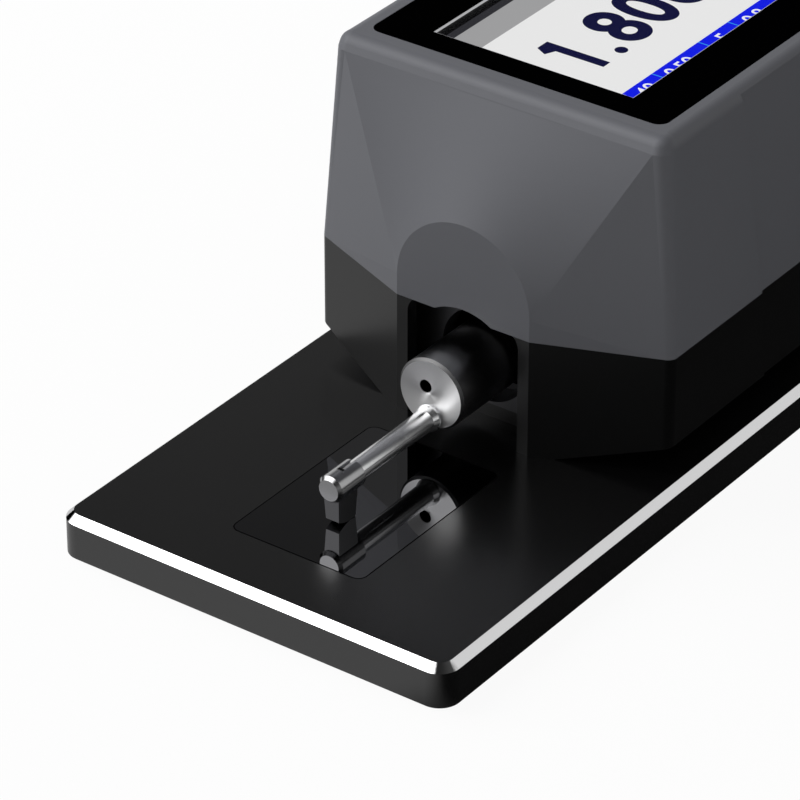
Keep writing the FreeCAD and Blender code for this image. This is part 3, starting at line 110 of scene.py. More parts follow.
def grain_group():
    """Fine moulded or blasted grain: a bump height, and a roughness that varies a little."""
    group = bpy.data.node_groups.new("fine_grain", "ShaderNodeTree")
    for socket, value in (("Scale", 4000.0), ("Roughness", 0.5), ("Variation", 0.05)):
        made = group.interface.new_socket(name=socket, in_out="INPUT", socket_type="NodeSocketFloat")
        made.default_value = value
    for socket in ("Height", "Roughness"):
        group.interface.new_socket(name=socket, in_out="OUTPUT", socket_type="NodeSocketFloat")
    inward = group.nodes.new("NodeGroupInput")
    outward = group.nodes.new("NodeGroupOutput")
    place = group.nodes.new("ShaderNodeTexCoord")
    fine = group.nodes.new("ShaderNodeTexNoise")
    fine.inputs["Detail"].default_value = FINE_DETAIL
    patches = group.nodes.new("ShaderNodeTexNoise")
    patches.inputs["Scale"].default_value = PATCH_SCALE
    patches.inputs["Detail"].default_value = PATCH_DETAIL
    for noise in (fine, patches):
        group.links.new(place.outputs["Object"], noise.inputs["Vector"])
    group.links.new(inward.outputs["Scale"], fine.inputs["Scale"])
    centred = reckoned(group, "SUBTRACT", patches.outputs["Fac"], PATCH_MIDDLE)
    spread = reckoned(group, "MULTIPLY_ADD", centred, inward.outputs["Variation"],
                      inward.outputs["Roughness"])
    group.links.new(fine.outputs["Fac"], outward.inputs["Height"])
    group.links.new(spread, outward.inputs["Roughness"])
    return group


FINE_GRAIN = grain_group()


def grained(name, colour, roughness, variation, scale, bump, metallic=0.0, specular=0.5):
    """A material with the fine grain. Its grain and bump nodes are named for later wiring."""
    material, tree, shader = new_material(name)
    shader.inputs["Base Color"].default_value = colour
    shader.inputs["Metallic"].default_value = metallic
    shader.inputs["Specular IOR Level"].default_value = specular
    grain = tree.nodes.new("ShaderNodeGroup")
    grain.name = "grain"
    grain.node_tree = FINE_GRAIN
    grain.inputs["Scale"].default_value = scale
    grain.inputs["Roughness"].default_value = roughness
    grain.inputs["Variation"].default_value = variation
    relief = tree.nodes.new("ShaderNodeBump")
    relief.name = "relief"
    relief.inputs["Strength"].default_value = bump
    relief.inputs["Distance"].default_value = GRAIN_HEIGHT
    tree.links.new(grain.outputs["Roughness"], shader.inputs["Roughness"])
    tree.links.new(grain.outputs["Height"], relief.inputs["Height"])
    tree.links.new(relief.outputs["Normal"], shader.inputs["Normal"])
    return material, tree, shader


plate_black, tree, shader = grained("black_anodised", PLATE_BLACK, roughness=0.24, variation=0.05,
                                    scale=5200.0, bump=0.2, specular=1.0)
chamfer = reckoned(tree, "COMPARE", facing(tree, "Z"), CHAMFER_SLOPE, CHAMFER_SLOPE_PLAY)
tree.links.new(mixed(tree, chamfer, PLATE_BLACK, CHAMFER_BRIGHT, colours=True), shader.inputs["Base Color"])
tree.links.new(chamfer, shader.inputs["Metallic"])
tree.links.new(mixed(tree, chamfer, tree.nodes["grain"].outputs["Roughness"], CHAMFER_ROUGHNESS),
               shader.inputs["Roughness"])
paint("base_plate", plate_black)

# Reference glass: a dark coated glass with small round corners, polished like a mirror and let in flush
# with the plate. The joint round it is filled black and shows as a fine line.
GLASS_DARK = (0.135, 0.135, 0.14, 1.0)
GLASS_CORNER = 1.25 * MM
GLASS_CORNER_STEPS = 10
GLASS_PROUD = 0.02 * MM
GLASS_LOW, GLASS_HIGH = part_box("reference_glass")
SMEAR_SCALE = 220.0
POLISH_BEST = 0.01
POLISH_WORST = 0.03
JOINT_WIDTH = 0.17 * MM
JOINT_BLACK = (0.0, 0.0, 0.0, 1.0)
JOINT_SHINE = 0.05
JOINT_ROUGHNESS = 0.8
mirror_glass, tree, shader = new_material("dark_mirror_glass")
shader.inputs["Base Color"].default_value = GLASS_DARK
shader.inputs["Metallic"].default_value = 1.0
place = tree.nodes.new("ShaderNodeTexCoord")
smear = tree.nodes.new("ShaderNodeTexNoise")
smear.inputs["Scale"].default_value = SMEAR_SCALE
polish = tree.nodes.new("ShaderNodeMapRange")
polish.inputs["To Min"].default_value = POLISH_BEST
polish.inputs["To Max"].default_value = POLISH_WORST
tree.links.new(place.outputs["Object"], smear.inputs["Vector"])
tree.links.new(smear.outputs["Fac"], polish.inputs["Value"])
tree.links.new(polish.outputs["Result"], shader.inputs["Roughness"])
joint_black, tree, shader = new_material("joint_black")
shader.inputs["Base Color"].default_value = JOINT_BLACK
shader.inputs["Specular IOR Level"].default_value = JOINT_SHINE
shader.inputs["Roughness"].default_value = JOINT_ROUGHNESS


def settle(piece, body):
    """Moves a finished piece's place into its mesh and lets it ride on a body."""
    bpy.ops.object.select_all(action="DESELECT")
    piece.select_set(True)
    bpy.context.view_layer.objects.active = piece
    bpy.ops.object.transform_apply(location=True, rotation=True, scale=True)
    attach(piece, body)


def flat_patch(name, x_low, x_high, y_low, y_high, z, material):
    """A flat rectangle between limits, from a plane brought to its size."""
    bpy.ops.object.select_all(action="DESELECT")
    bpy.ops.mesh.primitive_plane_add(size=1.0, location=((x_low + x_high) / 2, (y_low + y_high) / 2, z))
    piece = bpy.context.object
    piece.name = name
    piece.scale = (x_high - x_low, y_high - y_low, 1.0)
    bpy.ops.object.transform_apply(location=True, rotation=True, scale=True)
    piece.data.materials.append(material)
    return piece


for name, grow, lift, depth, material in (
        ("reference_glass_polished", 0.0, GLASS_PROUD, GLASS_HIGH[2] - GLASS_LOW[2], mirror_glass),
        ("reference_glass_joint", JOINT_WIDTH, GLASS_PROUD / 2, GLASS_PROUD, joint_black)):
    slab = flat_patch(name, GLASS_LOW[0] - grow, GLASS_HIGH[0] + grow, GLASS_LOW[1] - grow,
                      GLASS_HIGH[1] + grow, GLASS_HIGH[2] + lift, material)
    bpy.ops.object.mode_set(mode="EDIT")
    bpy.ops.mesh.select_all(action="SELECT")
    bpy.ops.mesh.bevel(offset=GLASS_CORNER + grow, segments=GLASS_CORNER_STEPS, affect="VERTICES")
    bpy.ops.mesh.select_all(action="SELECT")
    bpy.ops.mesh.extrude_region_move(TRANSFORM_OT_translate={"value": (0.0, 0.0, -depth)})
    bpy.ops.mesh.select_all(action="SELECT")
    bpy.ops.mesh.normals_make_consistent(inside=False)
    bpy.ops.object.mode_set(mode="OBJECT")
    settle(slab, "root")
    if material is mirror_glass:
        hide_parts("reference_glass")

# Lower housing: black moulded shell with a fine spark-eroded grain. The drive's frame is screwed to its
# floor. It shines softly where light falls along it.
HOUSING_BLACK = (0.0026, 0.0026, 0.0028, 1.0)
black_shell = grained("black_moulded", HOUSING_BLACK, roughness=0.3, variation=0.06, scale=3600.0, bump=0.12,
                      specular=0.42)[0]
paint("lower_housing", black_shell)

# Upper housing: dark grey moulded cover with a satin grain, screwed on from below. Its front turns from a
# straight top edge to the arch of the nose.
HOUSING_GREY = (0.122, 0.125, 0.139, 1.0)
grey_shell = grained("grey_moulded", HOUSING_GREY, roughness=0.5, variation=0.05, scale=3600.0, bump=0.15)[0]
paint("upper_housing", grey_shell)

# Display panel: polished black cover plate with round corners, let into its seat flush with the cover. It
# is deep black, and nothing in the studio shows in it.
PANEL_BLACK = (0.0004, 0.0004, 0.00045, 1.0)
panel_gloss = grained("gloss_black", PANEL_BLACK, roughness=0.08, variation=0.02, scale=900.0, bump=0.008,
                      specular=0.0)[0]
paint("display_panel", panel_gloss)

# Display window: clear pane in the panel's opening. Its ground edge is a ring that glows grey all round as a
# painted highlight, and below it the opening is lined with a glossy black gasket.
PANE_CLEAR = (1.0, 1.0, 1.0, 1.0)
PANE_IOR = 1.05
PANE_EDGE_PAINTED_HIGHLIGHT = (0.42, 0.42, 0.43, 1.0)
EDGE_HEIGHT = 0.45 * MM
EDGE_INSET = 0.06 * MM
RING_THICKNESS = 0.06 * MM
GASKET_BLACK = (0.004, 0.004, 0.0042, 1.0)
WINDOW_LOW, WINDOW_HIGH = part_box("display_window")
EDGE_TOP = WINDOW_HIGH[2] - EDGE_INSET
EDGE_FOOT = EDGE_TOP - EDGE_HEIGHT
PICTURE_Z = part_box("display_module")[1][2]
DOTS_BLACK = (0.0, 0.0, 0.0, 1.0)
DOTS_ROUGHNESS = 0.4
clear_pane, tree, shader = new_material("clear_pane")
shader.inputs["Base Color"].default_value = PANE_CLEAR
shader.inputs["Transmission Weight"].default_value = 1.0
shader.inputs["Roughness"].default_value = 0.0
shader.inputs["IOR"].default_value = PANE_IOR
paint("display_window", clear_pane)


def lit(name, colour):
    """A lit colour, as a display's dots give it; the pane's edge uses it too, as a painted highlight."""
    material, tree, shader = new_material(name)
    shader.inputs["Base Color"].default_value = DOTS_BLACK
    shader.inputs["Specular IOR Level"].default_value = 0.0
    shader.inputs["Roughness"].default_value = DOTS_ROUGHNESS
    shader.inputs["Emission Color"].default_value = colour
    shader.inputs["Emission Strength"].default_value = 1.0
    return material


gasket_gloss = grained("gasket_gloss", GASKET_BLACK, roughness=0.2, variation=0.03, scale=1500.0, bump=0.02)[0]
# the window's edge ring glows as a painted highlight, where its ground edge would catch the light
for name, top, foot, material in (("window_edge_painted_highlight", EDGE_TOP, EDGE_FOOT, lit("painted_highlight_pane_edge", PANE_EDGE_PAINTED_HIGHLIGHT)),
                                  ("window_gasket", EDGE_FOOT, PICTURE_Z, gasket_gloss)):
    ring = flat_patch(name, WINDOW_LOW[0] + EDGE_INSET, WINDOW_HIGH[0] - EDGE_INSET,
                      WINDOW_LOW[1] + EDGE_INSET, WINDOW_HIGH[1] - EDGE_INSET, top, material)
    bpy.ops.object.mode_set(mode="EDIT")
    bpy.ops.mesh.select_all(action="SELECT")
    bpy.ops.mesh.delete(type="ONLY_FACE")
    bpy.ops.mesh.select_all(action="SELECT")
    bpy.ops.mesh.extrude_region_move(TRANSFORM_OT_translate={"value": (0.0, 0.0, foot - top)})
    bpy.ops.object.mode_set(mode="OBJECT")
    wall = ring.modifiers.new("ring_wall", "SOLIDIFY")
    wall.thickness = RING_THICKNESS
    wall.offset = 0.0
    bpy.ops.object.modifier_apply(modifier=wall.name)
    settle(ring, "root")

# Display module: flat display in a black frame, sunk under the window. Its lit picture is made of plain
# fields of colour, with the measured value over them. The picture's top is towards -x.
module_black = grained("display_frame_black", PANEL_BLACK, roughness=0.3, variation=0.05, scale=1500.0,
                       bump=0.05, specular=0.1)[0]
paint("display_module", module_black)
PICTURE_LIFT = 0.02 * MM
PICTURE_MARGIN = 1.2 * MM
PICTURE_TOP = WINDOW_LOW[0] - PICTURE_MARGIN
PICTURE_FRONT = WINDOW_LOW[1] - PICTURE_MARGIN
PICTURE_REAR = WINDOW_HIGH[1] + PICTURE_MARGIN
# name, foot, colour
BAND_FEET = (
    # the first field is a dark strip along the picture's top edge
    ("top_strip_dark", -14.43 * MM, (0.028, 0.028, 0.033, 1.0)),
    ("status_grey", -9.9 * MM, (0.34, 0.34, 0.345, 1.0)),
    ("reading_white", 12.25 * MM, (0.8, 0.8, 0.8, 1.0)),
    ("footer_blue", 17.05 * MM, (0.006, 0.013, 0.76, 1.0)),
)
band_top = PICTURE_TOP
for name, band_foot, colour in BAND_FEET:
    field = flat_patch("display_" + name, band_top, band_foot, PICTURE_FRONT, PICTURE_REAR,
                       PICTURE_Z + PICTURE_LIFT, lit("lit_" + name, colour))
    settle(field, "root")
    band_top = band_foot

# The reading: large plain digits in dark blue, read from the right-hand side. Each is brought to its place.
# The one is a bar with a slanting flag, and the point is round.
READING_NAVY = lit("lit_reading_navy", (0.006, 0.0065, 0.042, 1.0))
DIGIT_TOP = -3.9 * MM
DIGIT_BASE = 6.15 * MM
DIGIT_WIDTH = 6.05 * MM
DIGIT_FRONTS = (("8", -20.0 * MM), ("0", -13.25 * MM), ("6", -6.5 * MM))
DIGIT_BOLDNESS = 0.03
CURVE_STEPS = 8
GLYPH_LIFT = 3 * PICTURE_LIFT
GLYPH_Z = PICTURE_Z + GLYPH_LIFT
STROKE = 1.63 * MM
ONE_FRONT = -27.73 * MM
FLAG_TIP = Vector((DIGIT_TOP, -28.38 * MM, 0.0))
FLAG_LOW = Vector((-2.1 * MM, -29.32 * MM, 0.0))
FLAG_ROOT = Vector((-1.4 * MM, ONE_FRONT, 0.0))
CUT_PLAY = 0.001 * MM
POINT_CENTRE = -22.32 * MM
POINT_RADIUS = 0.92 * MM
POINT_DROP = 0.12 * MM
POINT_STEPS = 40


def glyphs(name, text, top, base, front, rear, boldness, material):
    """Plain numbers on the display, brought between limits; with no rear limit they keep their shape."""
    bpy.ops.object.select_all(action="DESELECT")
    bpy.ops.object.text_add(rotation=(0.0, 0.0, math.pi / 2))
    piece = bpy.context.object
    piece.data.body = text
    piece.data.size = 1.0
    piece.data.offset = boldness
    piece.data.resolution_u = CURVE_STEPS
    bpy.ops.object.convert(target="MESH")
    piece = bpy.context.object
    piece.name = name
    bpy.ops.object.transform_apply(location=True, rotation=True, scale=True)
    piece.data.materials.clear()
    piece.data.materials.append(material)
    xs = [v.co.x for v in piece.data.vertices]
    ys = [v.co.y for v in piece.data.vertices]
    grow_x = (base - top) / (max(xs) - min(xs))
    grow_y = grow_x if rear is None else (rear - front) / (max(ys) - min(ys))
    piece.scale = (grow_x, grow_y, 1.0)
    piece.location = (top - min(xs) * grow_x, front - min(ys) * grow_y, GLYPH_Z)
    settle(piece, "root")


for digit, front in DIGIT_FRONTS:
    glyphs("display_digit_" + digit, digit, DIGIT_TOP, DIGIT_BASE, front, front + DIGIT_WIDTH, DIGIT_BOLDNESS,
           READING_NAVY)
one = flat_patch("display_digit_1", DIGIT_TOP, DIGIT_BASE, ONE_FRONT, ONE_FRONT + STROKE, GLYPH_Z,
                 READING_NAVY)
settle(one, "root")
flag = flat_patch("display_digit_flag", FLAG_TIP.x, FLAG_ROOT.x, FLAG_LOW.y, ONE_FRONT, GLYPH_Z,
                  READING_NAVY)
bpy.ops.object.mode_set(mode="EDIT")
for start, end in ((FLAG_TIP, FLAG_LOW), (FLAG_LOW, FLAG_ROOT)):
    outward = (end - start).cross(Vector((0.0, 0.0, 1.0))).normalized()
    bpy.ops.mesh.select_all(action="SELECT")
    bpy.ops.mesh.bisect(plane_co=start, plane_no=outward, clear_outer=True, threshold=CUT_PLAY)
bpy.ops.object.mode_set(mode="OBJECT")
settle(flag, "root")
bpy.ops.object.select_all(action="DESELECT")
bpy.ops.mesh.primitive_circle_add(vertices=POINT_STEPS, radius=POINT_RADIUS, fill_type="NGON",
                                  location=(DIGIT_BASE + POINT_DROP - POINT_RADIUS, POINT_CENTRE, GLYPH_Z))
point = bpy.context.object
point.name = "display_point"
point.data.materials.append(READING_NAVY)
settle(point, "root")

# The blue strip under the reading: small white numbers between thin light lines. They are lit dots of the
# same display.
STRIP_WHITE = lit("lit_strip_white", (0.85, 0.85, 0.9, 1.0))
STRIP_TOP = 13.05 * MM
STRIP_BASE = 15.45 * MM
STRIP_BOLDNESS = 0.01
STRIP_FRONTS = (("40", -31.2 * MM), ("0.50", -24.4 * MM), ("5", -12.0 * MM), ("0.8", -5.6 * MM))
STRIP_LINE = lit("lit_strip_line", (0.04, 0.35, 0.75, 1.0))
LINE_TOP = 12.3 * MM
LINE_BASE = 15.6 * MM
LINE_WIDTH = 0.16 * MM
LINE_FRONTS = (-25.7 * MM, -14.6 * MM, -7.4 * MM)
for n, (text, front) in enumerate(STRIP_FRONTS):
    glyphs(f"display_strip_number_{n}", text, STRIP_TOP, STRIP_BASE, front, None, STRIP_BOLDNESS, STRIP_WHITE)
for n, front in enumerate(LINE_FRONTS):
    mark = flat_patch(f"display_strip_line_{n}", LINE_TOP, LINE_BASE, front, front + LINE_WIDTH, GLYPH_Z,
                      STRIP_LINE)
    settle(mark, "root")

# Keys: moulded caps with a satin face, held by their flanges under the panel. The three soft keys are grey,
# the measuring key is blue and the power key red.
KEY_FINISHES = (
    ("key_grey", (0.16, 0.163, 0.17, 1.0), ("left_key", "menu_key", "right_key")),
    ("key_blue", (0.02, 0.11, 0.42, 1.0), ("start_key",)),
    ("key_red", (0.42, 0.03, 0.02, 1.0), ("power_key",)),
)
for name, colour, keys in KEY_FINISHES:
    finish = grained(name, colour, roughness=0.45, variation=0.05, scale=3200.0, bump=0.15)[0]
    for node in keys:
        paint(node, finish)

# Pickup barrel: turned steel with a satin side. The front face is turned slightly hollow, so its highlight
# runs out from the centre to one side. The face's rim is painted darker as shade, and the small blind hole in
# it is painted dark as shade.
BARREL_STEEL = (0.62, 0.62, 0.625, 1.0)
TURNED = 0.9
FACE_HOLLOW = math.tan(math.radians(16.0))
RIM_PAINTED_SHADE = (0.13, 0.13, 0.132, 1.0)
RIM_SLOPE = -math.sqrt(0.5)
RIM_SLOPE_PLAY = 0.2
HOLE_PAINTED_SHADE = (0.01, 0.01, 0.01, 1.0)
HOLE_REACH = 3.0 * MM
HOLE_MOUTH = 0.15 * MM
BARREL_LOW, BARREL_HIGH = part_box("pickup_body")
barrel_steel, tree, shader = grained("barrel_steel", BARREL_STEEL, roughness=0.28, variation=0.04,
                                     scale=2600.0, bump=0.05, metallic=1.0)
shader.inputs["Anisotropic"].default_value = TURNED
lathe = tree.nodes.new("ShaderNodeTangent")
lathe.direction_type = "RADIAL"
lathe.axis = "Y"
tree.links.new(lathe.outputs["Tangent"], shader.inputs["Tangent"])
place = tree.nodes.new("ShaderNodeTexCoord")
from_centre = tree.nodes.new("ShaderNodeVectorMath")
from_centre.operation = "SUBTRACT"
from_centre.inputs[1].default_value = [(low + high) / 2 for low, high in zip(BARREL_LOW, BARREL_HIGH)]
from_axis = tree.nodes.new("ShaderNodeVectorMath")
from_axis.operation = "MULTIPLY"
from_axis.inputs[1].default_value = (1.0, 0.0, 1.0)
radius = tree.nodes.new("ShaderNodeVectorMath")
radius.operation = "LENGTH"
tree.links.new(place.outputs["Object"], from_centre.inputs[0])
tree.links.new(from_centre.outputs[0], from_axis.inputs[0])
tree.links.new(from_axis.outputs[0], radius.inputs[0])
hollow = tree.nodes.new("ShaderNodeBump")
hollow.inputs["Strength"].default_value = 1.0
hollow.inputs["Distance"].default_value = 1.0
tree.links.new(reckoned(tree, "MULTIPLY", radius.outputs["Value"], FACE_HOLLOW), hollow.inputs["Height"])
tree.links.new(hollow.outputs["Normal"], tree.nodes["relief"].inputs["Normal"])
# painted shade: the rim's steel is coloured darker, for the darker reflection it shows
shaded_rim = reckoned(tree, "COMPARE", facing(tree, "Y"), RIM_SLOPE, RIM_SLOPE_PLAY)
spot = tree.nodes.new("ShaderNodeSeparateXYZ")
tree.links.new(place.outputs["Object"], spot.inputs[0])
# painted shade: the blind hole's inside is coloured near black
behind_face = reckoned(tree, "GREATER_THAN", spot.outputs["Y"], BARREL_LOW[1] + HOLE_MOUTH)
near_axis = reckoned(tree, "LESS_THAN", radius.outputs["Value"], HOLE_REACH)
hole_painted_shade = reckoned(tree, "MULTIPLY", behind_face, near_axis)
steel = mixed(tree, shaded_rim, BARREL_STEEL, RIM_PAINTED_SHADE, colours=True)
tree.links.new(mixed(tree, hole_painted_shade, steel, HOLE_PAINTED_SHADE, colours=True), shader.inputs["Base Color"])
paint("pickup_body", barrel_steel)

# Pickup's front: the stem is a polished steel tube and the head a satin steel thimble pressed over its end.
# The skid and the stylus's tip are ground hard metal.
# name, colour, roughness, its variation, grain scale, relief, metallic, pieces
PICKUP_FINISHES = (
    ("stem_steel", (0.97, 0.972, 0.98, 1.0), 0.2, 0.03, 1500.0, 0.02, 0.94, ("pickup_stem",)),
    ("head_steel", (0.52, 0.52, 0.525, 1.0), 0.2, 0.04, 2600.0, 0.05, 1.0, ("pickup_head",)),
    ("skid_metal", (0.2, 0.2, 0.204, 1.0), 0.28, 0.04, 2600.0, 0.04, 1.0, ("skid", "stylus_tip")),
)
for name, colour, roughness, variation, scale, bump, metallic, members in PICKUP_FINISHES:
    finish = grained(name, colour, roughness, variation, scale, bump, metallic=metallic)[0]
    for node in members:
        paint(node, finish)

# Inner pieces: the drive, the board, the battery and the fixings. They are plain bought or turned parts, and
# only the front wall of the drive's frame shows, through the mouth.
# name, colour, roughness, metallic, pieces
INNER_FINISHES = (
    ("dark_aluminium", (0.09, 0.09, 0.095, 1.0), 0.45, 1.0, ("drive_frame",)),
    ("plain_aluminium", (0.62, 0.62, 0.63, 1.0), 0.32, 1.0, ("carriage", "shaft_coupling", "stylus_lever")),
    ("ground_steel", (0.5, 0.5, 0.51, 1.0), 0.2, 1.0,
     ("guide_rails", "lead_screw", "motor_shaft", "pivot_pin", "gear_motor", "charging_socket")),
    ("turned_brass", (0.6, 0.42, 0.16, 1.0), 0.25, 1.0, ("drive_nut", "pickup_holder")),
    ("turned_bronze", (0.48, 0.27, 0.1, 1.0), 0.3, 1.0, ("front_bush", "rear_bush")),
    ("wound_copper", (0.6, 0.22, 0.08, 1.0), 0.4, 1.0, ("sensor_coil",)),
    ("black_zinc", (0.06, 0.06, 0.062, 1.0), 0.35, 1.0, ("housing_screws", "frame_screws", "board_screws")),
    ("board_green", (0.008, 0.09, 0.03, 1.0), 0.35, 0.0, ("main_board",)),
    ("battery_foil", (0.42, 0.43, 0.45, 1.0), 0.4, 0.0, ("battery_pack",)),
    ("switch_black", (0.012, 0.012, 0.012, 1.0), 0.4, 0.0, ("key_switches",)),
)
for name, colour, roughness, metallic, members in INNER_FINISHES:
    finish = grained(name, colour, roughness, variation=0.06, scale=2400.0, bump=0.08, metallic=metallic)[0]
    for node in members:
        paint(node, finish)

# Floor: plain and pale. The camera sees it near white with the object's shadow. In metal and glass it
# shows pale on the left and in front, and dark on the right, where a painted shade stands for the dark side of
# the studio.
FLOOR_SIZE = 6.0
FLOOR_DROP = 0.05 * MM
FLOOR_COLOUR = (0.8, 0.8, 0.8, 1.0)
FLOOR_ROUGHNESS = 0.9
FLOOR_GLOW = 0.935
FLOOR_PALE = 0.58
FLOOR_PAINTED_SHADE = 0.02
GLOW_WHITE = (1.0, 1.0, 1.0, 1.0)
PAINTED_SHADE_CORNER = Vector((31.0, -102.0, 0.0)) * MM
PAINTED_SHADE_AWAY = Vector((-0.78, -0.62, 0.0))
PAINTED_SHADE_BLUR = 6.0 * MM
bpy.ops.object.select_all(action="DESELECT")
bpy.ops.mesh.primitive_plane_add(size=FLOOR_SIZE, location=(0.0, 0.0, -FLOOR_DROP))
floor = bpy.context.object
floor.name = "floor"
floor_white, tree, shader = new_material("floor_white")
shader.inputs["Base Color"].default_value = FLOOR_COLOUR
shader.inputs["Roughness"].default_value = FLOOR_ROUGHNESS
shader.inputs["Specular IOR Level"].default_value = 0.0
glow = tree.nodes.new("ShaderNodeEmission")
glow.inputs["Color"].default_value = GLOW_WHITE
mirrored_glow_and_shade = tree.nodes.new("ShaderNodeEmission")
mirrored_glow_and_shade.inputs["Color"].default_value = GLOW_WHITE
place = tree.nodes.new("ShaderNodeTexCoord")
from_painted_shade = tree.nodes.new("ShaderNodeVectorMath")
from_painted_shade.operation = "SUBTRACT"
from_painted_shade.inputs[1].default_value = PAINTED_SHADE_CORNER
away = tree.nodes.new("ShaderNodeVectorMath")
away.operation = "DOT_PRODUCT"
away.inputs[1].default_value = PAINTED_SHADE_AWAY
# painted shade: in reflections the floor's glow is painted dark beyond a soft edge on the right
painted_shade_edge = tree.nodes.new("ShaderNodeMapRange")
painted_shade_edge.interpolation_type = "SMOOTHSTEP"
painted_shade_edge.inputs["From Min"].default_value = -PAINTED_SHADE_BLUR
painted_shade_edge.inputs["From Max"].default_value = PAINTED_SHADE_BLUR
painted_shade_edge.inputs["To Min"].default_value = FLOOR_PAINTED_SHADE
painted_shade_edge.inputs["To Max"].default_value = FLOOR_PALE
tree.links.new(place.outputs["Object"], from_painted_shade.inputs[0])
tree.links.new(from_painted_shade.outputs[0], away.inputs[0])
tree.links.new(away.outputs["Value"], painted_shade_edge.inputs["Value"])
tree.links.new(painted_shade_edge.outputs["Result"], mirrored_glow_and_shade.inputs["Strength"])
seen = tree.nodes.new("ShaderNodeLightPath")
to_camera = tree.nodes.new("ShaderNodeMixShader")
to_mirrors = tree.nodes.new("ShaderNodeMixShader")
tree.links.new(reckoned(tree, "MULTIPLY", seen.outputs["Is Camera Ray"], FLOOR_GLOW), to_camera.inputs[0])
tree.links.new(shader.outputs[0], to_camera.inputs[1])
tree.links.new(glow.outputs[0], to_camera.inputs[2])
tree.links.new(reckoned(tree, "MAXIMUM", seen.outputs["Is Glossy Ray"], seen.outputs["Is Transmission Ray"]),
               to_mirrors.inputs[0])
tree.links.new(to_camera.outputs[0], to_mirrors.inputs[1])
tree.links.new(mirrored_glow_and_shade.outputs[0], to_mirrors.inputs[2])
tree.links.new(to_mirrors.outputs[0], tree.nodes["Material Output"].inputs["Surface"])
floor.data.materials.append(floor_white)

# World: white to the camera, with a soft even fill. Reflections show a studio: a soft box in front on the
# left, a smaller light behind on the right, a pale rear wall, a dark ceiling and a black flag on the left.
# Each has its direction, and the share of that direction at which it begins and at which it is complete.
FILL = 0.38
CEILING = (Vector((0.0, 0.0, 1.0)), 0.1, 0.62)
HORIZON_LEVEL = 0.65
CEILING_LEVEL = 0.05
REAR_WALL = (Vector((0.0, 1.0, 0.0)), -0.5, 0.3)
FRONT_SHARE = 0.35
LEFT_FLAG = (Vector((-0.99, 0.12, 0.05)).normalized(), 0.85, 0.94)
SOFT_BOX = (Vector((-0.53, -0.58, 0.62)).normalized(), 0.74, 0.95)
SOFT_BOX_LEVEL = 2.9
REAR_LIGHT = (Vector((0.72, 0.66, 0.2)).normalized(), 0.8, 0.95)
REAR_LIGHT_LEVEL = 0.65
world = bpy.data.worlds.new("studio")
bpy.context.scene.world = world
world.use_nodes = True
tree = world.node_tree
backdrop = tree.nodes["Background"]
backdrop.inputs["Color"].default_value = (1.0, 1.0, 1.0, 1.0)
seen = tree.nodes.new("ShaderNodeLightPath")
towards = tree.nodes.new("ShaderNodeTexCoord")


def studio_side(side, level_away, level_there):
    """A level that changes smoothly towards one side of the studio."""
    direction, begins, complete = side
    along = tree.nodes.new("ShaderNodeVectorMath")
    along.operation = "DOT_PRODUCT"
    along.inputs[1].default_value = direction
    level = tree.nodes.new("ShaderNodeMapRange")
    level.interpolation_type = "SMOOTHSTEP"
    level.inputs["From Min"].default_value = begins
    level.inputs["From Max"].default_value = complete
    level.inputs["To Min"].default_value = level_away
    level.inputs["To Max"].default_value = level_there
    tree.links.new(towards.outputs["Generated"], along.inputs[0])
    tree.links.new(along.outputs["Value"], level.inputs["Value"])
    return level.outputs["Result"]


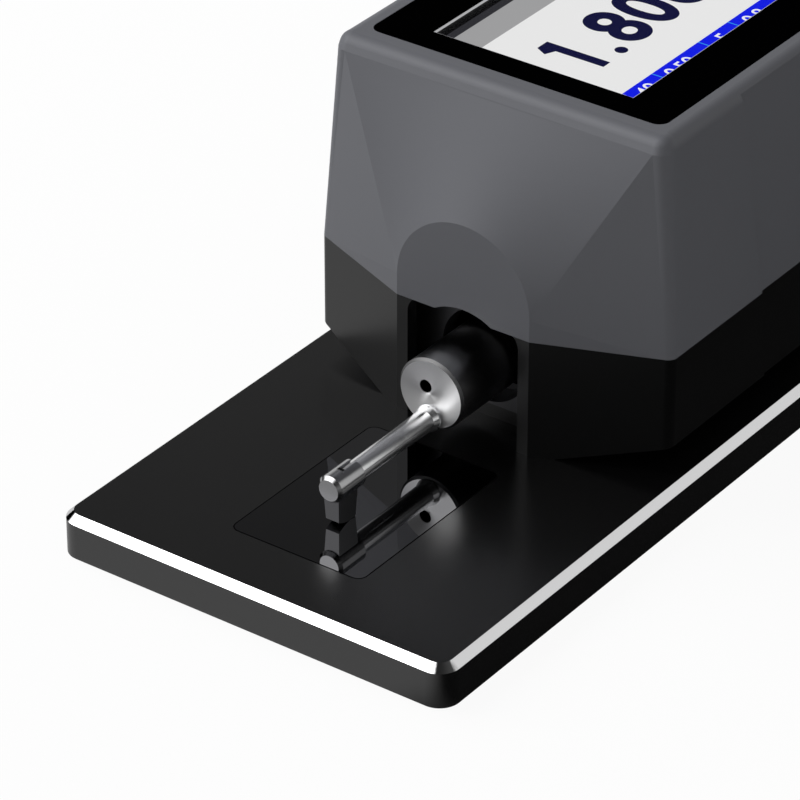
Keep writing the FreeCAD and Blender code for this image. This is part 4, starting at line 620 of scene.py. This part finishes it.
walls = studio_side(CEILING, HORIZON_LEVEL, CEILING_LEVEL)
walls = reckoned(tree, "MULTIPLY", walls, studio_side(REAR_WALL, FRONT_SHARE, 1.0))
walls = reckoned(tree, "MULTIPLY", walls, studio_side(LEFT_FLAG, 1.0, 0.0))
studio = reckoned(tree, "MAXIMUM", walls, studio_side(SOFT_BOX, 0.0, SOFT_BOX_LEVEL))
studio = reckoned(tree, "MAXIMUM", studio, studio_side(REAR_LIGHT, 0.0, REAR_LIGHT_LEVEL))
in_mirrors = reckoned(tree, "MAXIMUM", seen.outputs["Is Glossy Ray"], seen.outputs["Is Transmission Ray"])
level = mixed(tree, seen.outputs["Is Camera Ray"], mixed(tree, in_mirrors, FILL, studio), 1.0)
tree.links.new(level, backdrop.inputs["Strength"])

# Lamp: one large soft box high on the left, a little to the front. It only lights: reflections show the
# soft box of the world instead.
LAMP_PLACE = Vector((-0.68, -0.15, 0.62))
LAMP_TARGET = Vector((0.0, -0.03, 0.03))
LAMP_SIZE = 0.8
LAMP_POWER = 8.5
light = bpy.data.lights.new("key_lamp", "AREA")
light.shape = "SQUARE"
light.size = LAMP_SIZE
light.energy = LAMP_POWER
lamp = bpy.data.objects.new("key_lamp", light)
bpy.context.scene.collection.objects.link(lamp)
lamp.location = LAMP_PLACE
lamp.rotation_euler = (LAMP_TARGET - LAMP_PLACE).to_track_quat("-Z", "Y").to_euler()
lamp.visible_glossy = False

# Camera: at the photograph's viewing angle, from the front on the right and above, with a long lens. It is
# turned by its own three axes.
CAMERA_AZIMUTH = math.radians(36.07)
CAMERA_ELEVATION = math.radians(31.58)
CAMERA_PLACE = Vector((307.6, -486.7, 339.1)) * MM
CAMERA_FILM = 36.0
CAMERA_LENS = 212.6
CAMERA_REACH = 20.0
camera_data = bpy.data.cameras.new("camera")
camera_data.sensor_width = CAMERA_FILM
camera_data.sensor_fit = "HORIZONTAL"
camera_data.lens = CAMERA_LENS
camera_data.clip_end = CAMERA_REACH
camera = bpy.data.objects.new("camera", camera_data)
bpy.context.scene.collection.objects.link(camera)
right = Vector((math.cos(CAMERA_AZIMUTH), math.sin(CAMERA_AZIMUTH), 0.0))
back = Vector((math.sin(CAMERA_AZIMUTH) * math.cos(CAMERA_ELEVATION),
               -math.cos(CAMERA_AZIMUTH) * math.cos(CAMERA_ELEVATION), math.sin(CAMERA_ELEVATION)))
upward = back.cross(right)
turn = Matrix((right, upward, back)).transposed().to_4x4()
camera.matrix_world = Matrix.Translation(CAMERA_PLACE) @ turn
bpy.context.scene.camera = camera
bpy.context.scene.view_settings.view_transform = "Standard"
